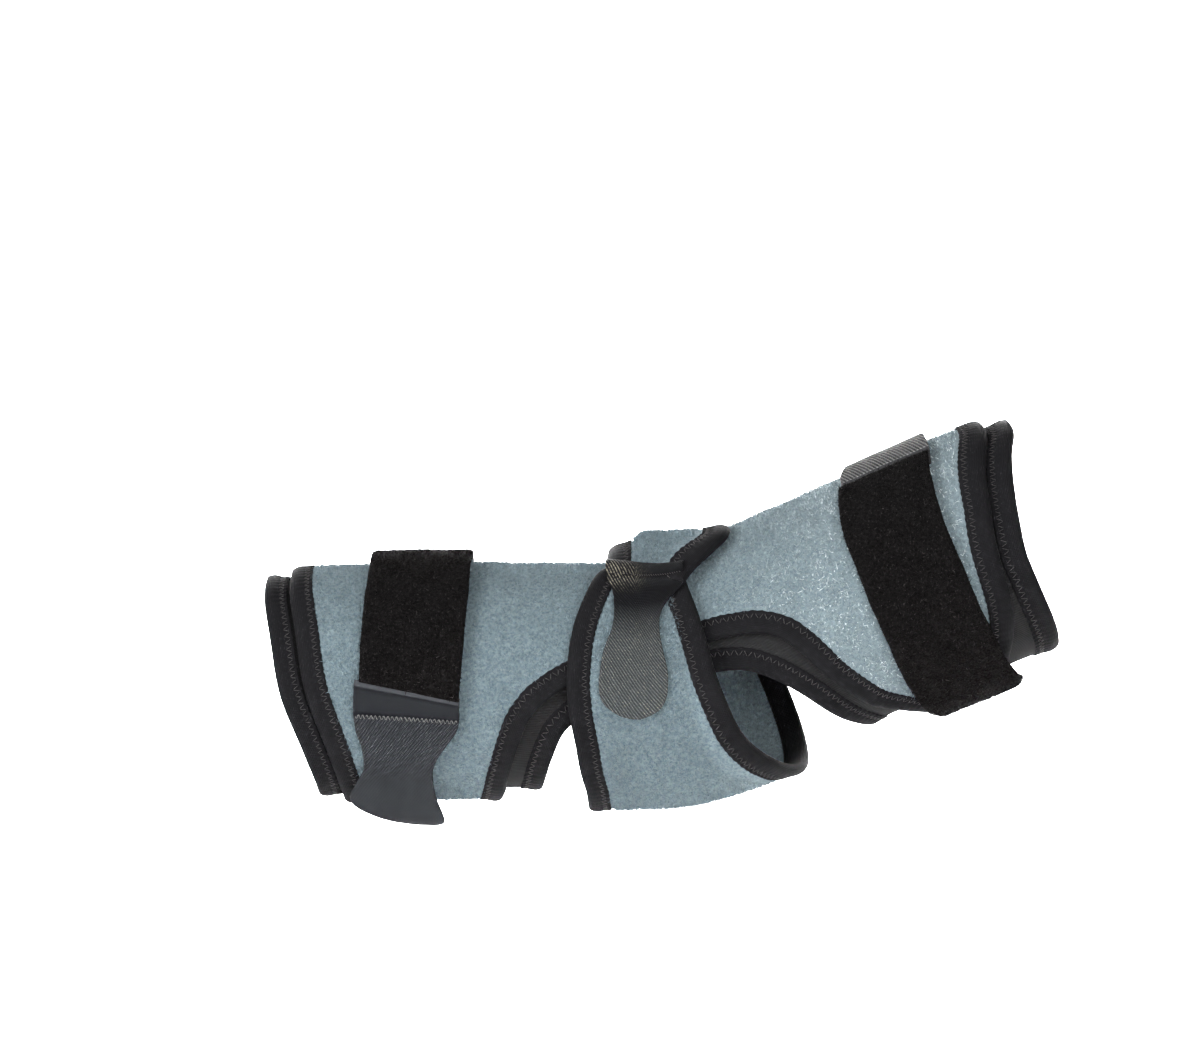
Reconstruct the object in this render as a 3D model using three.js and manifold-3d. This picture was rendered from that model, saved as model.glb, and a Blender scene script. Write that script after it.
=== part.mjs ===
// An elbow brace as it is worn, on an arm bent a little at the elbow: a thin liner, a plush sleeve over
// it, edge tapes, a panel wrapped round the elbow and two straps with woven hook tabs.
// Millimetres. The origin is the elbow's centre on the arm's axis, +X runs to the shoulder, +Z is up,
// and the side with the tabs faces -Y.
import * as THREE from "three";
import { mergeVertices } from "three/addons/utils/BufferGeometryUtils.js";
import Module from "manifold-3d";

const wasm = await Module();
wasm.setup();

// The arm that the brace follows
const elbowBend = THREE.MathUtils.degToRad(23.6);
const bendRadius = 80;
const halfHeight = 36.8;
const halfDepth = 35.7;
const forearmReach = 145;
const upperArmReach = 134;

// Cloth, tape and webbing
const linerThickness = 1.8;
const plushThickness = 2.5;
const tapeThickness = 0.6;
const tapeWidth = 8;
const strapThickness = 2.5;
const wovenThickness = 1.2;
const clearance = 0.55;
const cutEdgeClearance = 3.2;
const plushSetBack = 1.4;

// Places and widths
const plushHoleToWrist = 65;
const plushHoleToShoulder = 79;
const linerHoleToWrist = 50;
const linerHoleToShoulder = 57;
const wrapWidth = 54;
const strapWidth = 38;
const forearmStrapAt = -0.669 * forearmReach;
const upperStrapAt = 0.6866 * upperArmReach;
const strapSlack = 2.2;
const tabWidth = 25;

// Heights of the layers above the skin side
const linerBase = tapeThickness + clearance;
const linerTop = linerBase + linerThickness;
const plushBase = linerTop + 2 * clearance + tapeThickness;
const plushTop = plushBase + plushThickness;
const overBinding = plushTop + 2 * clearance + tapeThickness;
const wrapStack = plushThickness + 2 * tapeThickness + 3 * clearance;
const strapBase = plushTop + clearance;
const overWrap = overBinding + wrapStack;

const roundSteps = 36;
const strapStep = 360 / roundSteps;
const tabStep = strapStep / 2;

// The arm's sections: along is a share of the reach on its side of the elbow, high and lift are
// shares of the half height and deep of the half depth
const sections = [
  { along: -1.10, high: 1.005, deep: 0.916, lift: -0.066 },
  { along: -1.00, high: 1.005, deep: 0.916, lift: -0.062 },
  { along: -0.86, high: 0.995, deep: 0.930, lift: -0.016 },
  { along: -0.41, high: 0.992, deep: 0.972, lift: 0 },
  { along: 0, high: 1, deep: 1, lift: -0.005 },
  { along: 0.45, high: 1.049, deep: 1, lift: -0.019 },
  { along: 0.86, high: 1.060, deep: 1, lift: -0.038 },
  { along: 1.05, high: 1.068, deep: 1, lift: -0.070 },
  { along: 1.20, high: 1.068, deep: 1, lift: -0.070 },
];

// Edges of the sleeves by the angle round the arm, 0 on top, 90 at the near side and 180 underneath:
// distances from the elbow as shares of the reach on that side
const wristEdge = [
  { round: 0, along: -1.050 },
  { round: 36, along: -1.045 },
  { round: 63, along: -1.024 },
  { round: 91, along: -1.000 },
  { round: 123, along: -0.948 },
  { round: 150, along: -0.920 },
  { round: 180, along: -0.914 },
];
const linerUpperEdge = [
  { round: 0, along: 1.120 },
  { round: 25, along: 1.108 },
  { round: 40, along: 1.077 },
  { round: 62, along: 1.037 },
  { round: 80, along: 1.011 },
  { round: 98, along: 0.993 },
  { round: 145, along: 1.000 },
  { round: 180, along: 0.995 },
];
const plushUpperEdge = [
  { round: 0, along: 1.048 },
  { round: 23, along: 1.038 },
  { round: 51, along: 0.982 },
  { round: 71, along: 0.951 },
  { round: 87, along: 0.925 },
  { round: 118, along: 0.903 },
  { round: 136, along: 0.873 },
  { round: 150, along: 0.846 },
  { round: 180, along: 0.836 },
];

// Elbow holes, as their near edge runs from underneath on the wrist side over the arch and down again:
// along is a share of the hole's reach on that side
const plushHole = [
  { along: -1.00, round: 180 },
  { along: -0.985, round: 163 },
  { along: -0.945, round: 138 },
  { along: -0.865, round: 112 },
  { along: -0.740, round: 98 },
  { along: -0.460, round: 84 },
  { along: 0, round: 75 },
  { along: 0.250, round: 77 },
  { along: 0.420, round: 82 },
  { along: 0.565, round: 100 },
  { along: 0.690, round: 127 },
  { along: 0.860, round: 151 },
  { along: 0.965, round: 166 },
  { along: 1.00, round: 180 },
];
const linerHole = [
  { along: -1.00, round: 180 },
  { along: -0.980, round: 158 },
  { along: -0.920, round: 133 },
  { along: -0.810, round: 114 },
  { along: -0.500, round: 99 },
  { along: 0, round: 91 },
  { along: 0.230, round: 91 },
  { along: 0.440, round: 98 },
  { along: 0.650, round: 117 },
  { along: 0.850, round: 149 },
  { along: 0.965, round: 168 },
  { along: 1.00, round: 180 },
];

// The wrap, from its start under the flap down the near side, underneath, up the far side and over
// the top to the flap's end. Left and right are shares of its width. Rise, riseRight and bridge are
// shares of its own thickness: how far its left edge, its right edge and the cloth between them stand
// off where it passes over itself and bridges the crease of the elbow
const wrapCourse = [
  { round: 34, left: -0.53, right: 0.36, rise: 0, riseRight: 0, bridge: 0 },
  { round: 46, left: -0.62, right: 0.30, rise: 0, riseRight: 0, bridge: 0 },
  { round: 62, left: -0.71, right: 0.29, rise: 0, riseRight: 0, bridge: 0 },
  { round: 90, left: -0.76, right: 0.24, rise: 0, riseRight: 0, bridge: 0 },
  { round: 118, left: -0.70, right: 0.25, rise: 0, riseRight: 0, bridge: 0 },
  { round: 150, left: -0.63, right: 0.40, rise: 0, riseRight: 0, bridge: 0 },
  { round: 180, left: -0.61, right: 0.56, rise: 0, riseRight: 0, bridge: 0 },
  { round: 225, left: -0.57, right: 0.67, rise: 0, riseRight: 0, bridge: 0 },
  { round: 285, left: -0.53, right: 0.70, rise: 0, riseRight: 0, bridge: 0 },
  { round: 330, left: -0.50, right: 0.72, rise: 0, riseRight: -0.15, bridge: 0.35 },
  { round: 360, left: -0.48, right: 0.73, rise: 0, riseRight: -0.17, bridge: 0.90 },
  { round: 376, left: -0.48, right: 0.72, rise: 0.30, riseRight: 0.10, bridge: 0.60 },
  { round: 388, left: -0.48, right: 0.69, rise: 0.92, riseRight: 0.90, bridge: 0.10 },
  { round: 394, left: -0.48, right: 0.58, rise: 1.03, riseRight: 1.03, bridge: 0 },
  { round: 400, left: -0.49, right: 0.44, rise: 1.03, riseRight: 1.03, bridge: 0 },
];
// How much of the bridge each line of corners across the wrap takes, from its left to its right edge
const bridgeShape = [0, 0, 1, 0.85, 0.4, 0, 0];
// Its hook tab, from the sewn end on the flap to the round tip: shares of the tab's width
const wrapTabCourse = [
  { round: 34, left: -1.06, right: 0.76, rise: 1.03 },
  { round: 42, left: -1.04, right: 0.70, rise: 1.03 },
  { round: 48, left: -0.97, right: 0.50, rise: 0.60 },
  { round: 55, left: -0.97, right: 0.05, rise: 0.12 },
  { round: 62, left: -0.96, right: -0.18, rise: 0 },
  { round: 74, left: -1.10, right: -0.18, rise: 0 },
  { round: 86, left: -1.17, right: -0.16, rise: 0 },
  { round: 96, left: -1.14, right: -0.22, rise: 0 },
  { round: 101, left: -1.00, right: -0.33, rise: 0 },
  { round: 104, left: -0.80, right: -0.50, rise: 0 },
];

// Straps and their tabs: left and right are shares of the strap width from where each strap sits,
// rise is a share of the slack
const forearmStrapCourse = [
  { round: -148, left: -0.44, right: 0.53, rise: 0 },
  { round: -90, left: -0.48, right: 0.48, rise: 0 },
  { round: -45, left: -0.44, right: 0.53, rise: 0.4 },
  { round: 0, left: -0.42, right: 0.55, rise: 0.95 },
  { round: 36, left: -0.43, right: 0.55, rise: 0.9 },
  { round: 64, left: -0.47, right: 0.51, rise: 0.8 },
  { round: 92, left: -0.50, right: 0.46, rise: 0.75 },
];
const forearmTabCourse = [
  { round: 84, left: -0.53, right: 0.46, rise: 0 },
  { round: 108, left: -0.53, right: 0.45, rise: 0 },
  { round: 117, left: -0.49, right: 0.35, rise: 0 },
  { round: 128, left: -0.47, right: 0.23, rise: 0.1 },
  { round: 137, left: -0.52, right: 0.20, rise: 0.4 },
  { round: 146, left: -0.58, right: 0.24, rise: 1.1 },
  { round: 155, left: -0.58, right: 0.27, rise: 2.5 },
  { round: 163, left: -0.48, right: 0.29, rise: 3.9 },
  { round: 167, left: -0.20, right: 0.27, rise: 4.5 },
];
const upperStrapCourse = [
  { round: 30, left: -0.29, right: 0.65, rise: 0.75 },
  { round: 42, left: -0.37, right: 0.58, rise: 0.7 },
  { round: 58, left: -0.45, right: 0.50, rise: 0.6 },
  { round: 90, left: -0.49, right: 0.46, rise: 0.55 },
  { round: 123, left: -0.47, right: 0.49, rise: 0.55 },
  { round: 150, left: -0.38, right: 0.57, rise: 0.55 },
  { round: 180, left: -0.27, right: 0.66, rise: 0.55 },
  { round: 210, left: -0.38, right: 0.57, rise: 0.55 },
  { round: 300, left: -0.45, right: 0.50, rise: 0.2 },
];
const upperTabCourse = [
  { round: -50, left: -0.33, right: 0.61, rise: 0 },
  { round: -20, left: -0.22, right: 0.70, rise: 0 },
  { round: 10, left: -0.22, right: 0.72, rise: 0 },
  { round: 38, left: -0.31, right: 0.62, rise: 0 },
];

// Value of one column of a table between its rows, smooth across the rows
function between(rows, key, at, name) {
  let i = 0;
  while (i < rows.length - 2 && at > rows[i + 1][key]) i += 1;
  const a = rows[i];
  const b = rows[i + 1];
  const span = b[key] - a[key];
  const share = THREE.MathUtils.clamp((at - a[key]) / span, 0, 1);
  const before = rows[Math.max(i - 1, 0)];
  const after = rows[Math.min(i + 2, rows.length - 1)];
  const slopeA = ((b[name] - before[name]) / (b[key] - before[key])) * span;
  const slopeB = ((after[name] - a[name]) / (after[key] - a[key])) * span;
  const s2 = share * share;
  const s3 = s2 * share;
  return (2 * s3 - 3 * s2 + 1) * a[name] + (s3 - 2 * s2 + share) * slopeA
    + (3 * s2 - 2 * s3) * b[name] + (s3 - s2) * slopeB;
}

// Distance along the arm for a share of the reach on its side of the elbow
function reached(share) {
  return share < 0 ? share * forearmReach : share * upperArmReach;
}

// A point on the worn brace: along the bent axis, round it from the top and above the skin side
function onArm(along, round, height) {
  const arc = bendRadius * elbowBend;
  const turned = THREE.MathUtils.clamp((along + arc / 2) / bendRadius, 0, elbowBend);
  const before = Math.min(along + arc / 2, 0);
  const after = Math.max(along - arc / 2, 0);
  const axisX = -bendRadius * Math.tan(elbowBend / 2) + bendRadius * Math.sin(turned)
    + before + after * Math.cos(elbowBend);
  const axisZ = bendRadius * (1 - Math.cos(turned)) + after * Math.sin(elbowBend);
  const share = along / (along < 0 ? forearmReach : upperArmReach);
  const high = between(sections, "along", share, "high") * halfHeight + height;
  const deep = between(sections, "along", share, "deep") * halfDepth + height;
  const angle = THREE.MathUtils.degToRad(round);
  const up = between(sections, "along", share, "lift") * halfHeight + high * Math.cos(angle);
  return new THREE.Vector3(
    axisX - up * Math.sin(turned), -deep * Math.sin(angle), axisZ + up * Math.cos(turned));
}

// Closed body through rings of points that all follow one outline: joined end to start, or capped.
// Each four-cornered face is split along its shorter diagonal, so both sides of the arm come out alike
function loft(rings, outline, closed) {
  const count = outline.length;
  const positions = rings.flat().flatMap((point) => point.toArray());
  const index = [];
  const last = closed ? rings.length : rings.length - 1;
  for (let i = 0; i < last; i += 1) {
    const next = (i + 1) % rings.length;
    for (let j = 0; j < count; j += 1) {
      const side = (j + 1) % count;
      const here = i * count + j;
      const beyond = next * count + j;
      const hereSide = i * count + side;
      const beyondSide = next * count + side;
      const rising = rings[i][j].distanceTo(rings[next][side]);
      const falling = rings[i][side].distanceTo(rings[next][j]);
      if (rising < falling) {
        index.push(here, beyondSide, beyond, here, hereSide, beyondSide);
      } else {
        index.push(here, hereSide, beyond, hereSide, beyondSide, beyond);
      }
    }
  }
  if (!closed) {
    const end = (rings.length - 1) * count;
    for (const [a, b, c] of THREE.ShapeUtils.triangulateShape(outline, [])) {
      index.push(a, c, b);
      index.push(end + a, end + b, end + c);
    }
  }
  const geometry = new THREE.BufferGeometry();
  geometry.setAttribute("position", new THREE.Float32BufferAttribute(positions, 3));
  geometry.setIndex(index);
  return geometry;
}

// Outline of a strip's cross-section: columns along it as shares, at its lower and its upper face
function stripOutline(columns) {
  const lower = columns.map((share) => new THREE.Vector2(share, 0));
  const upper = columns.map((share) => new THREE.Vector2(share, 1)).reverse();
  return [...lower, ...upper];
}

// Where every layer has a line of corners, so that their flats lie parallel: shares of the reaches
const forearmStations = [-0.78, -0.40].map((share) => share * forearmReach);
const upperArmStations = [0.36, 0.55, 0.72].map((share) => share * upperArmReach);

// Tube of cloth round the arm between two end edges
function sleeve(startAt, endAt, base, top) {
  const arc = bendRadius * elbowBend;
  const bends = [-2, -1, 0, 1, 2].map((quarter) => (quarter * arc) / 4);
  const stations = [...forearmStations, ...bends, ...upperArmStations];
  const outline = stripOutline(Array.from({ length: stations.length + 4 }, (_, i) => i));
  const rings = [];
  for (let i = 0; i < roundSteps; i += 1) {
    const round = (i * 360) / roundSteps;
    const start = startAt(round);
    const end = endAt(round);
    const alongs = [start, start + tapeWidth, ...stations, end - tapeWidth, end];
    rings.push([
      ...alongs.map((along) => onArm(along, round, base)),
      ...[...alongs].reverse().map((along) => onArm(along, round, top)),
    ]);
  }
  return loft(rings, outline, true);
}

// Strip wound round the arm along a course, such as a strap or a tab
function strip(course, at, width, base, thickness, riseHeight, columns, stepAngle) {
  const first = course[0].round;
  const span = course[course.length - 1].round - first;
  const steps = Math.ceil(Math.abs(span) / stepAngle);
  const shares = Array.from({ length: columns + 1 }, (_, i) => i / columns);
  const rings = [];
  for (let i = 0; i <= steps; i += 1) {
    const round = first + (span * i) / steps;
    const left = at + between(course, "round", round, "left") * width;
    const right = at + between(course, "round", round, "right") * width;
    const low = base + between(course, "round", round, "rise") * riseHeight;
    const alongs = shares.map((share) => left + (right - left) * share);
    rings.push([
      ...alongs.map((along) => onArm(along, round, low)),
      ...[...alongs].reverse().map((along) => onArm(along, round, low + thickness)),
    ]);
  }
  return loft(rings, stripOutline(shares), false);
}

// Turn from one angle round the arm to another, the short way
function turnBetween(from, to) {
  return THREE.MathUtils.euclideanModulo(to - from + 180, 360) - 180;
}

// The place on the sleeve at a distance sideways from an edge path, measured along the cloth
function beside(path, i, distance, closed) {
  const count = path.length;
  const previous = path[closed ? (i + count - 1) % count : Math.max(i - 1, 0)];
  const next = path[closed ? (i + 1) % count : Math.min(i + 1, count - 1)];
  const here = path[i];
  const step = 0.5;
  const origin = onArm(here.along, here.round, here.height);
  const perAlong = onArm(here.along + step, here.round, here.height).distanceTo(origin) / step;
  const perRound = onArm(here.along, here.round + step, here.height).distanceTo(origin) / step;
  const runAlong = (next.along - previous.along) * perAlong;
  const runRound = turnBetween(previous.round, next.round) * perRound;
  const run = Math.hypot(runAlong, runRound);
  return {
    along: here.along + ((runRound / run) * distance) / perAlong,
    round: here.round - ((runAlong / run) * distance) / perRound,
    height: here.height,
  };
}

// Tape folded over an edge: a channel round the cloth, open on the cloth's side. Its height at a place
// is the path's own, or what heightAt says where the cloth rises and falls
function binding(path, side, clothThickness, closed, heightAt = (place) => place.height) {
  const inside = clothThickness + 2 * clearance;
  const outline = [
    [0, 0], [tapeWidth, 0], [tapeWidth, tapeThickness], [tapeThickness, tapeThickness],
    [tapeThickness, tapeThickness + inside], [tapeWidth, tapeThickness + inside],
    [tapeWidth, 2 * tapeThickness + inside], [0, 2 * tapeThickness + inside],
  ].map(([across, up]) => new THREE.Vector2(across, up));
  const rings = path.map((_, i) => outline.map((corner) => {
    const place = beside(path, i, side * corner.x, closed);
    return onArm(place.along, place.round, heightAt(place) + corner.y);
  }));
  return loft(side < 0 ? rings.reverse() : rings, outline, closed);
}

// Height of the wrap's underside at a place on it, from how its edges and its bridge stand off there
function wrapHeight(place) {
  const column = (name) => between(wrapCourse, "round", place.round, name);
  const left = column("left") * wrapWidth;
  const right = column("right") * wrapWidth;
  const share = THREE.MathUtils.clamp((place.along - left) / (right - left), 0, 1);
  const line = share * (bridgeShape.length - 1);
  const lower = Math.min(Math.floor(line), bridgeShape.length - 2);
  const shape = THREE.MathUtils.lerp(bridgeShape[lower], bridgeShape[lower + 1], line - lower);
  const rise = THREE.MathUtils.lerp(column("rise"), column("riseRight"), share);
  return overBinding + (rise + column("bridge") * shape) * wrapStack;
}

// The wrap's cloth between its two edge paths, set in from both so that it lies in the tapes' folds
function wrapPanel(left, right, inset, thickness) {
  const shares = bridgeShape.map((_, i) => i / (bridgeShape.length - 1));
  const lift = tapeThickness + clearance;
  const rings = left.map((_, i) => {
    const from = beside(left, i, inset, false);
    const to = beside(right, i, -inset, false);
    const at = (share, up) => {
      const place = {
        along: THREE.MathUtils.lerp(from.along, to.along, share),
        round: THREE.MathUtils.lerp(from.round, to.round, share),
      };
      return onArm(place.along, place.round, wrapHeight(place) + lift + up);
    };
    return [
      ...shares.map((share) => at(share, 0)),
      ...shares.map((share) => at(share, thickness)).reverse(),
    ];
  });
  return loft(rings, stripOutline(shares), false);
}

// Path of a sleeve's end edge, right round the arm
function endPath(edgeAt, height) {
  return Array.from({ length: roundSteps }, (_, i) => {
    const round = (i * 360) / roundSteps;
    return { along: edgeAt(round), round, height };
  });
}

// Path of an elbow hole's edge: the near half smoothed through its table, then the same on the far side
function holePath(rows, toWrist, toShoulder, height) {
  const points = rows.map((row) => new THREE.Vector3(
    row.along * (row.along < 0 ? toWrist : toShoulder), row.round, 0));
  const near = new THREE.CatmullRomCurve3(points).getPoints(2 * (rows.length - 1));
  const far = near.slice(1, -1).reverse();
  return [
    ...near.map((point) => ({ along: point.x, round: point.y, height })),
    ...far.map((point) => ({ along: point.x, round: 360 - point.y, height })),
  ];
}

// Path of one edge of the wrap
function wrapPath(sideName) {
  const first = wrapCourse[0].round;
  const span = wrapCourse[wrapCourse.length - 1].round - first;
  const steps = Math.ceil(span / (360 / roundSteps));
  return Array.from({ length: steps + 1 }, (_, i) => {
    const round = first + (span * i) / steps;
    return {
      along: between(wrapCourse, "round", round, sideName) * wrapWidth,
      round,
      height: overBinding,
    };
  });
}

// Angle measured from the top on the nearer side, because both sides of the sleeve are alike
function mirrored(round) {
  return Math.min(round, 360 - round);
}

function wristAt(round, setBack) {
  return reached(between(wristEdge, "round", mirrored(round), "along")) + setBack;
}

function upperAt(edge, round) {
  return reached(between(edge, "round", mirrored(round), "along"));
}

function toSolid(geometry) {
  geometry.deleteAttribute("normal");
  geometry.deleteAttribute("uv");
  const merged = mergeVertices(geometry, 1e-4);
  return new wasm.Manifold(new wasm.Mesh({
    numProp: 3,
    vertProperties: new Float32Array(merged.attributes.position.array),
    triVerts: new Uint32Array(merged.index.array),
  }));
}

function toGeometry(solid) {
  const mesh = solid.getMesh();
  const geometry = new THREE.BufferGeometry();
  geometry.setAttribute("position", new THREE.Float32BufferAttribute(mesh.vertProperties, 3));
  geometry.setIndex(new THREE.Uint32BufferAttribute(mesh.triVerts, 1));
  return geometry;
}

// Sleeve with its elbow hole cut straight across, set back from the bound edge so that the tape fits
function cutSleeve(tube, path, midHeight, toWrist, toShoulder) {
  const nearCount = path.length / 2 + 1;
  const outline = [];
  for (let i = 0; i < nearCount; i += 1) {
    const place = beside(path, i, tapeThickness + cutEdgeClearance, true);
    const point = onArm(place.along, place.round, midHeight);
    outline.push(new THREE.Vector2(point.x, point.z));
  }
  const reach = 2 * halfHeight;
  const below = [toShoulder, -toWrist].map((along, i) => {
    const inset = (tapeThickness + cutEdgeClearance) * (i === 0 ? 1 : -1);
    const point = onArm(along + inset, 180, reach);
    return new THREE.Vector2(point.x, point.z);
  });
  const depth = 4 * halfDepth;
  const cutter = new THREE.ExtrudeGeometry(new THREE.Shape([...outline, ...below]),
    { depth, bevelEnabled: false });
  cutter.rotateX(Math.PI / 2);
  cutter.translate(0, depth / 2, 0);
  return toGeometry(toSolid(tube).subtract(toSolid(cutter)));
}

function material(color, roughness) {
  return new THREE.MeshStandardMaterial({ color, roughness, metalness: 0 });
}
const charcoalKnit = () => material(0x323232, 0.8);
const plush = () => material(0x84969f, 0.95);
const bindingTape = () => material(0x1e1e22, 0.75);
const loopPile = () => material(0x191616, 0.95);
const wovenHook = () => material(0x2c2d31, 0.55);

const brace = new THREE.Group();

function addPiece(name, geometry, finish) {
  const mesh = new THREE.Mesh(geometry, finish);
  mesh.name = name;
  brace.add(mesh);
}

// A bound edge hides the cloth's own edge by the tape's fold and a clearance
const foldDepth = tapeThickness + clearance;

function addLiner() {
  const path = holePath(linerHole, linerHoleToWrist, linerHoleToShoulder, 0);
  const wrist = (round) => wristAt(round, 0);
  const upper = (round) => upperAt(linerUpperEdge, round);
  const tube = sleeve((round) => wrist(round) + foldDepth, (round) => upper(round) - foldDepth,
    linerBase, linerTop);
  const middle = (linerBase + linerTop) / 2;
  addPiece("liner", cutSleeve(tube, path, middle, linerHoleToWrist, linerHoleToShoulder),
    charcoalKnit());
  addPiece("liner_binding_wrist", binding(endPath(wrist, 0), 1, linerThickness, true), bindingTape());
  addPiece("liner_binding_upper", binding(endPath(upper, 0), -1, linerThickness, true), bindingTape());
  addPiece("liner_binding_elbow", binding(path, 1, linerThickness, true), bindingTape());
}

function addOuterSleeve() {
  const base = linerTop + clearance;
  const path = holePath(plushHole, plushHoleToWrist, plushHoleToShoulder, base);
  const wrist = (round) => wristAt(round, tapeWidth + plushSetBack);
  const upper = (round) => upperAt(plushUpperEdge, round);
  const tube = sleeve((round) => wrist(round) + foldDepth, (round) => upper(round) - foldDepth,
    plushBase, plushTop);
  const middle = (plushBase + plushTop) / 2;
  addPiece("outer_sleeve", cutSleeve(tube, path, middle, plushHoleToWrist, plushHoleToShoulder),
    plush());
  addPiece("outer_binding_wrist", binding(endPath(wrist, base), 1, plushThickness, true), bindingTape());
  addPiece("outer_binding_upper", binding(endPath(upper, base), -1, plushThickness, true), bindingTape());
  addPiece("outer_binding_elbow", binding(path, 1, plushThickness, true), bindingTape());
}

function addElbowWrap() {
  const left = wrapPath("left");
  const right = wrapPath("right");
  addPiece("elbow_wrap", wrapPanel(left, right, foldDepth + clearance, plushThickness), plush());
  addPiece("elbow_wrap_binding_left", binding(left, 1, plushThickness, false, wrapHeight),
    bindingTape());
  addPiece("elbow_wrap_binding_right", binding(right, -1, plushThickness, false, wrapHeight),
    bindingTape());
  addPiece("elbow_wrap_tab", strip(wrapTabCourse, 0, tabWidth, overWrap, wovenThickness, wrapStack, 3,
    tabStep), wovenHook());
}

function addStraps() {
  addPiece("forearm_strap", strip(forearmStrapCourse, forearmStrapAt, strapWidth, strapBase,
    strapThickness, strapSlack, 2, strapStep), loopPile());
  addPiece("forearm_strap_tab", strip(forearmTabCourse, forearmStrapAt, strapWidth, strapBase,
    wovenThickness, strapSlack, 3, tabStep), wovenHook());
  addPiece("upper_strap", strip(upperStrapCourse, upperStrapAt, strapWidth, strapBase,
    strapThickness, strapSlack, 2, strapStep), loopPile());
  addPiece("upper_strap_tab", strip(upperTabCourse, upperStrapAt, strapWidth, strapBase,
    wovenThickness, strapSlack, 2, strapStep), wovenHook());
}

addLiner();
addOuterSleeve();
addElbowWrap();
addStraps();

export default brace;
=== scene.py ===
import math

import bpy
import numpy as np
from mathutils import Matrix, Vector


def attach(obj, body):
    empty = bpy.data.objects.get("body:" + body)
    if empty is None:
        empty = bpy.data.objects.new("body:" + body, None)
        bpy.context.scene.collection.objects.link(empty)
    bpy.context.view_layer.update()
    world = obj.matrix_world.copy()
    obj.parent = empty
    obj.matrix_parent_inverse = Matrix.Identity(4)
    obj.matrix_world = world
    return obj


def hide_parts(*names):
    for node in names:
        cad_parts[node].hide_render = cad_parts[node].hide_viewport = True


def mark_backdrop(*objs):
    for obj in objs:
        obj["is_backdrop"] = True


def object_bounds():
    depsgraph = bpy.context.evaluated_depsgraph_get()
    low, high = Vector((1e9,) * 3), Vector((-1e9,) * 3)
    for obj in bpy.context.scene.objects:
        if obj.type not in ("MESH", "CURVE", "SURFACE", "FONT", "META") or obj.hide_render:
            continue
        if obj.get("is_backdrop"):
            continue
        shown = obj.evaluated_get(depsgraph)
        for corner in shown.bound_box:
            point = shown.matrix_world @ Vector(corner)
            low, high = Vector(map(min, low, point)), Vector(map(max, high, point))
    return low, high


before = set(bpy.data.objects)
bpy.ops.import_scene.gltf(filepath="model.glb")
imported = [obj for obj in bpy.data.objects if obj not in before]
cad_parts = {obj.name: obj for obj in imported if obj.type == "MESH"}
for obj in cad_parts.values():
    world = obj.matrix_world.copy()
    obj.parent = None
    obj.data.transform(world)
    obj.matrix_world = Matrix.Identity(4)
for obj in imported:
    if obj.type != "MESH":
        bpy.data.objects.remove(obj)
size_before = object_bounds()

# The liner: a thin charcoal knit sleeve next to the skin, sewn into a tube that follows a bent elbow.
# It is open at both ends and has an elbow hole underneath.
BEND = math.radians(23.6)
BEND_RADIUS = 80.0
HALF_HEIGHT = 36.8
HALF_DEPTH = 35.7
FOREARM_REACH = 145.0
UPPER_ARM_REACH = 134.0
ARM_SECTIONS = np.array([
    # share of the reach, height, depth, lift
    [-1.10, 1.005, 0.916, -0.066],
    [-1.00, 1.005, 0.916, -0.062],
    [-0.86, 0.995, 0.930, -0.016],
    [-0.41, 0.992, 0.972, 0.0],
    [0.0, 1.0, 1.0, -0.005],
    [0.45, 1.049, 1.0, -0.019],
    [0.86, 1.060, 1.0, -0.038],
    [1.05, 1.068, 1.0, -0.070],
    [1.20, 1.068, 1.0, -0.070],
])
WRIST_EDGE = np.array([
    [0, -152.3], [36, -151.5], [63, -148.5], [91, -145.0], [123, -137.5], [150, -133.4],
    [180, -132.5],
])
LINER_UPPER_EDGE = np.array([
    [0, 150.0], [25, 148.5], [40, 144.3], [62, 139.0], [80, 135.5], [98, 133.1], [145, 134.0],
    [180, 133.3],
])
LINER_HOLE = np.array([
    [-50.0, 180], [-49.0, 158], [-46.0, 133], [-40.5, 114], [-25.0, 99], [0.0, 91], [13.0, 91],
    [25.0, 98], [37.0, 117], [48.5, 149], [55.0, 168], [57.0, 180],
])
LINER_TOP = 2.9
LINER_THICKNESS = 1.8
EDGE_INSET = 1.2


def through(xs, ys, at):
    """Cubic between the points (xs, ys): at each one the slope is that of the chord between its
    neighbours, and past the ends the value stays."""
    xs = np.asarray(xs, float)
    ys = np.asarray(ys, float)
    at = np.clip(at, xs[0], xs[-1])
    slopes = np.empty_like(ys)
    slopes[1:-1] = (ys[2:] - ys[:-2]) / (xs[2:] - xs[:-2])
    slopes[0] = (ys[1] - ys[0]) / (xs[1] - xs[0])
    slopes[-1] = (ys[-1] - ys[-2]) / (xs[-1] - xs[-2])
    i = np.clip(np.searchsorted(xs, at, side="right") - 1, 0, len(xs) - 2)
    span = xs[i + 1] - xs[i]
    s = (at - xs[i]) / span
    return ((2 * s**3 - 3 * s**2 + 1) * ys[i] + (s**3 - 2 * s**2 + s) * span * slopes[i]
            + (3 * s**2 - 2 * s**3) * ys[i + 1] + (s**3 - s**2) * span * slopes[i + 1])


def softness(along, turn):
    """Shallow waves of worn cloth: sum of a few sines of the place along and round the arm, 0.3 mm."""
    a = np.radians(turn)
    return (0.20 * np.sin(along / 7.3 + 1.7 * np.sin(a + 0.4)) * np.sin(1.5 * a + along / 31)
            + 0.16 * np.sin(along / 3.9 - 2.2 * np.cos(a)) * np.cos(2 * a - along / 23)
            + 0.22 * np.sin(along / 17 + 3 * a))


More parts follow.
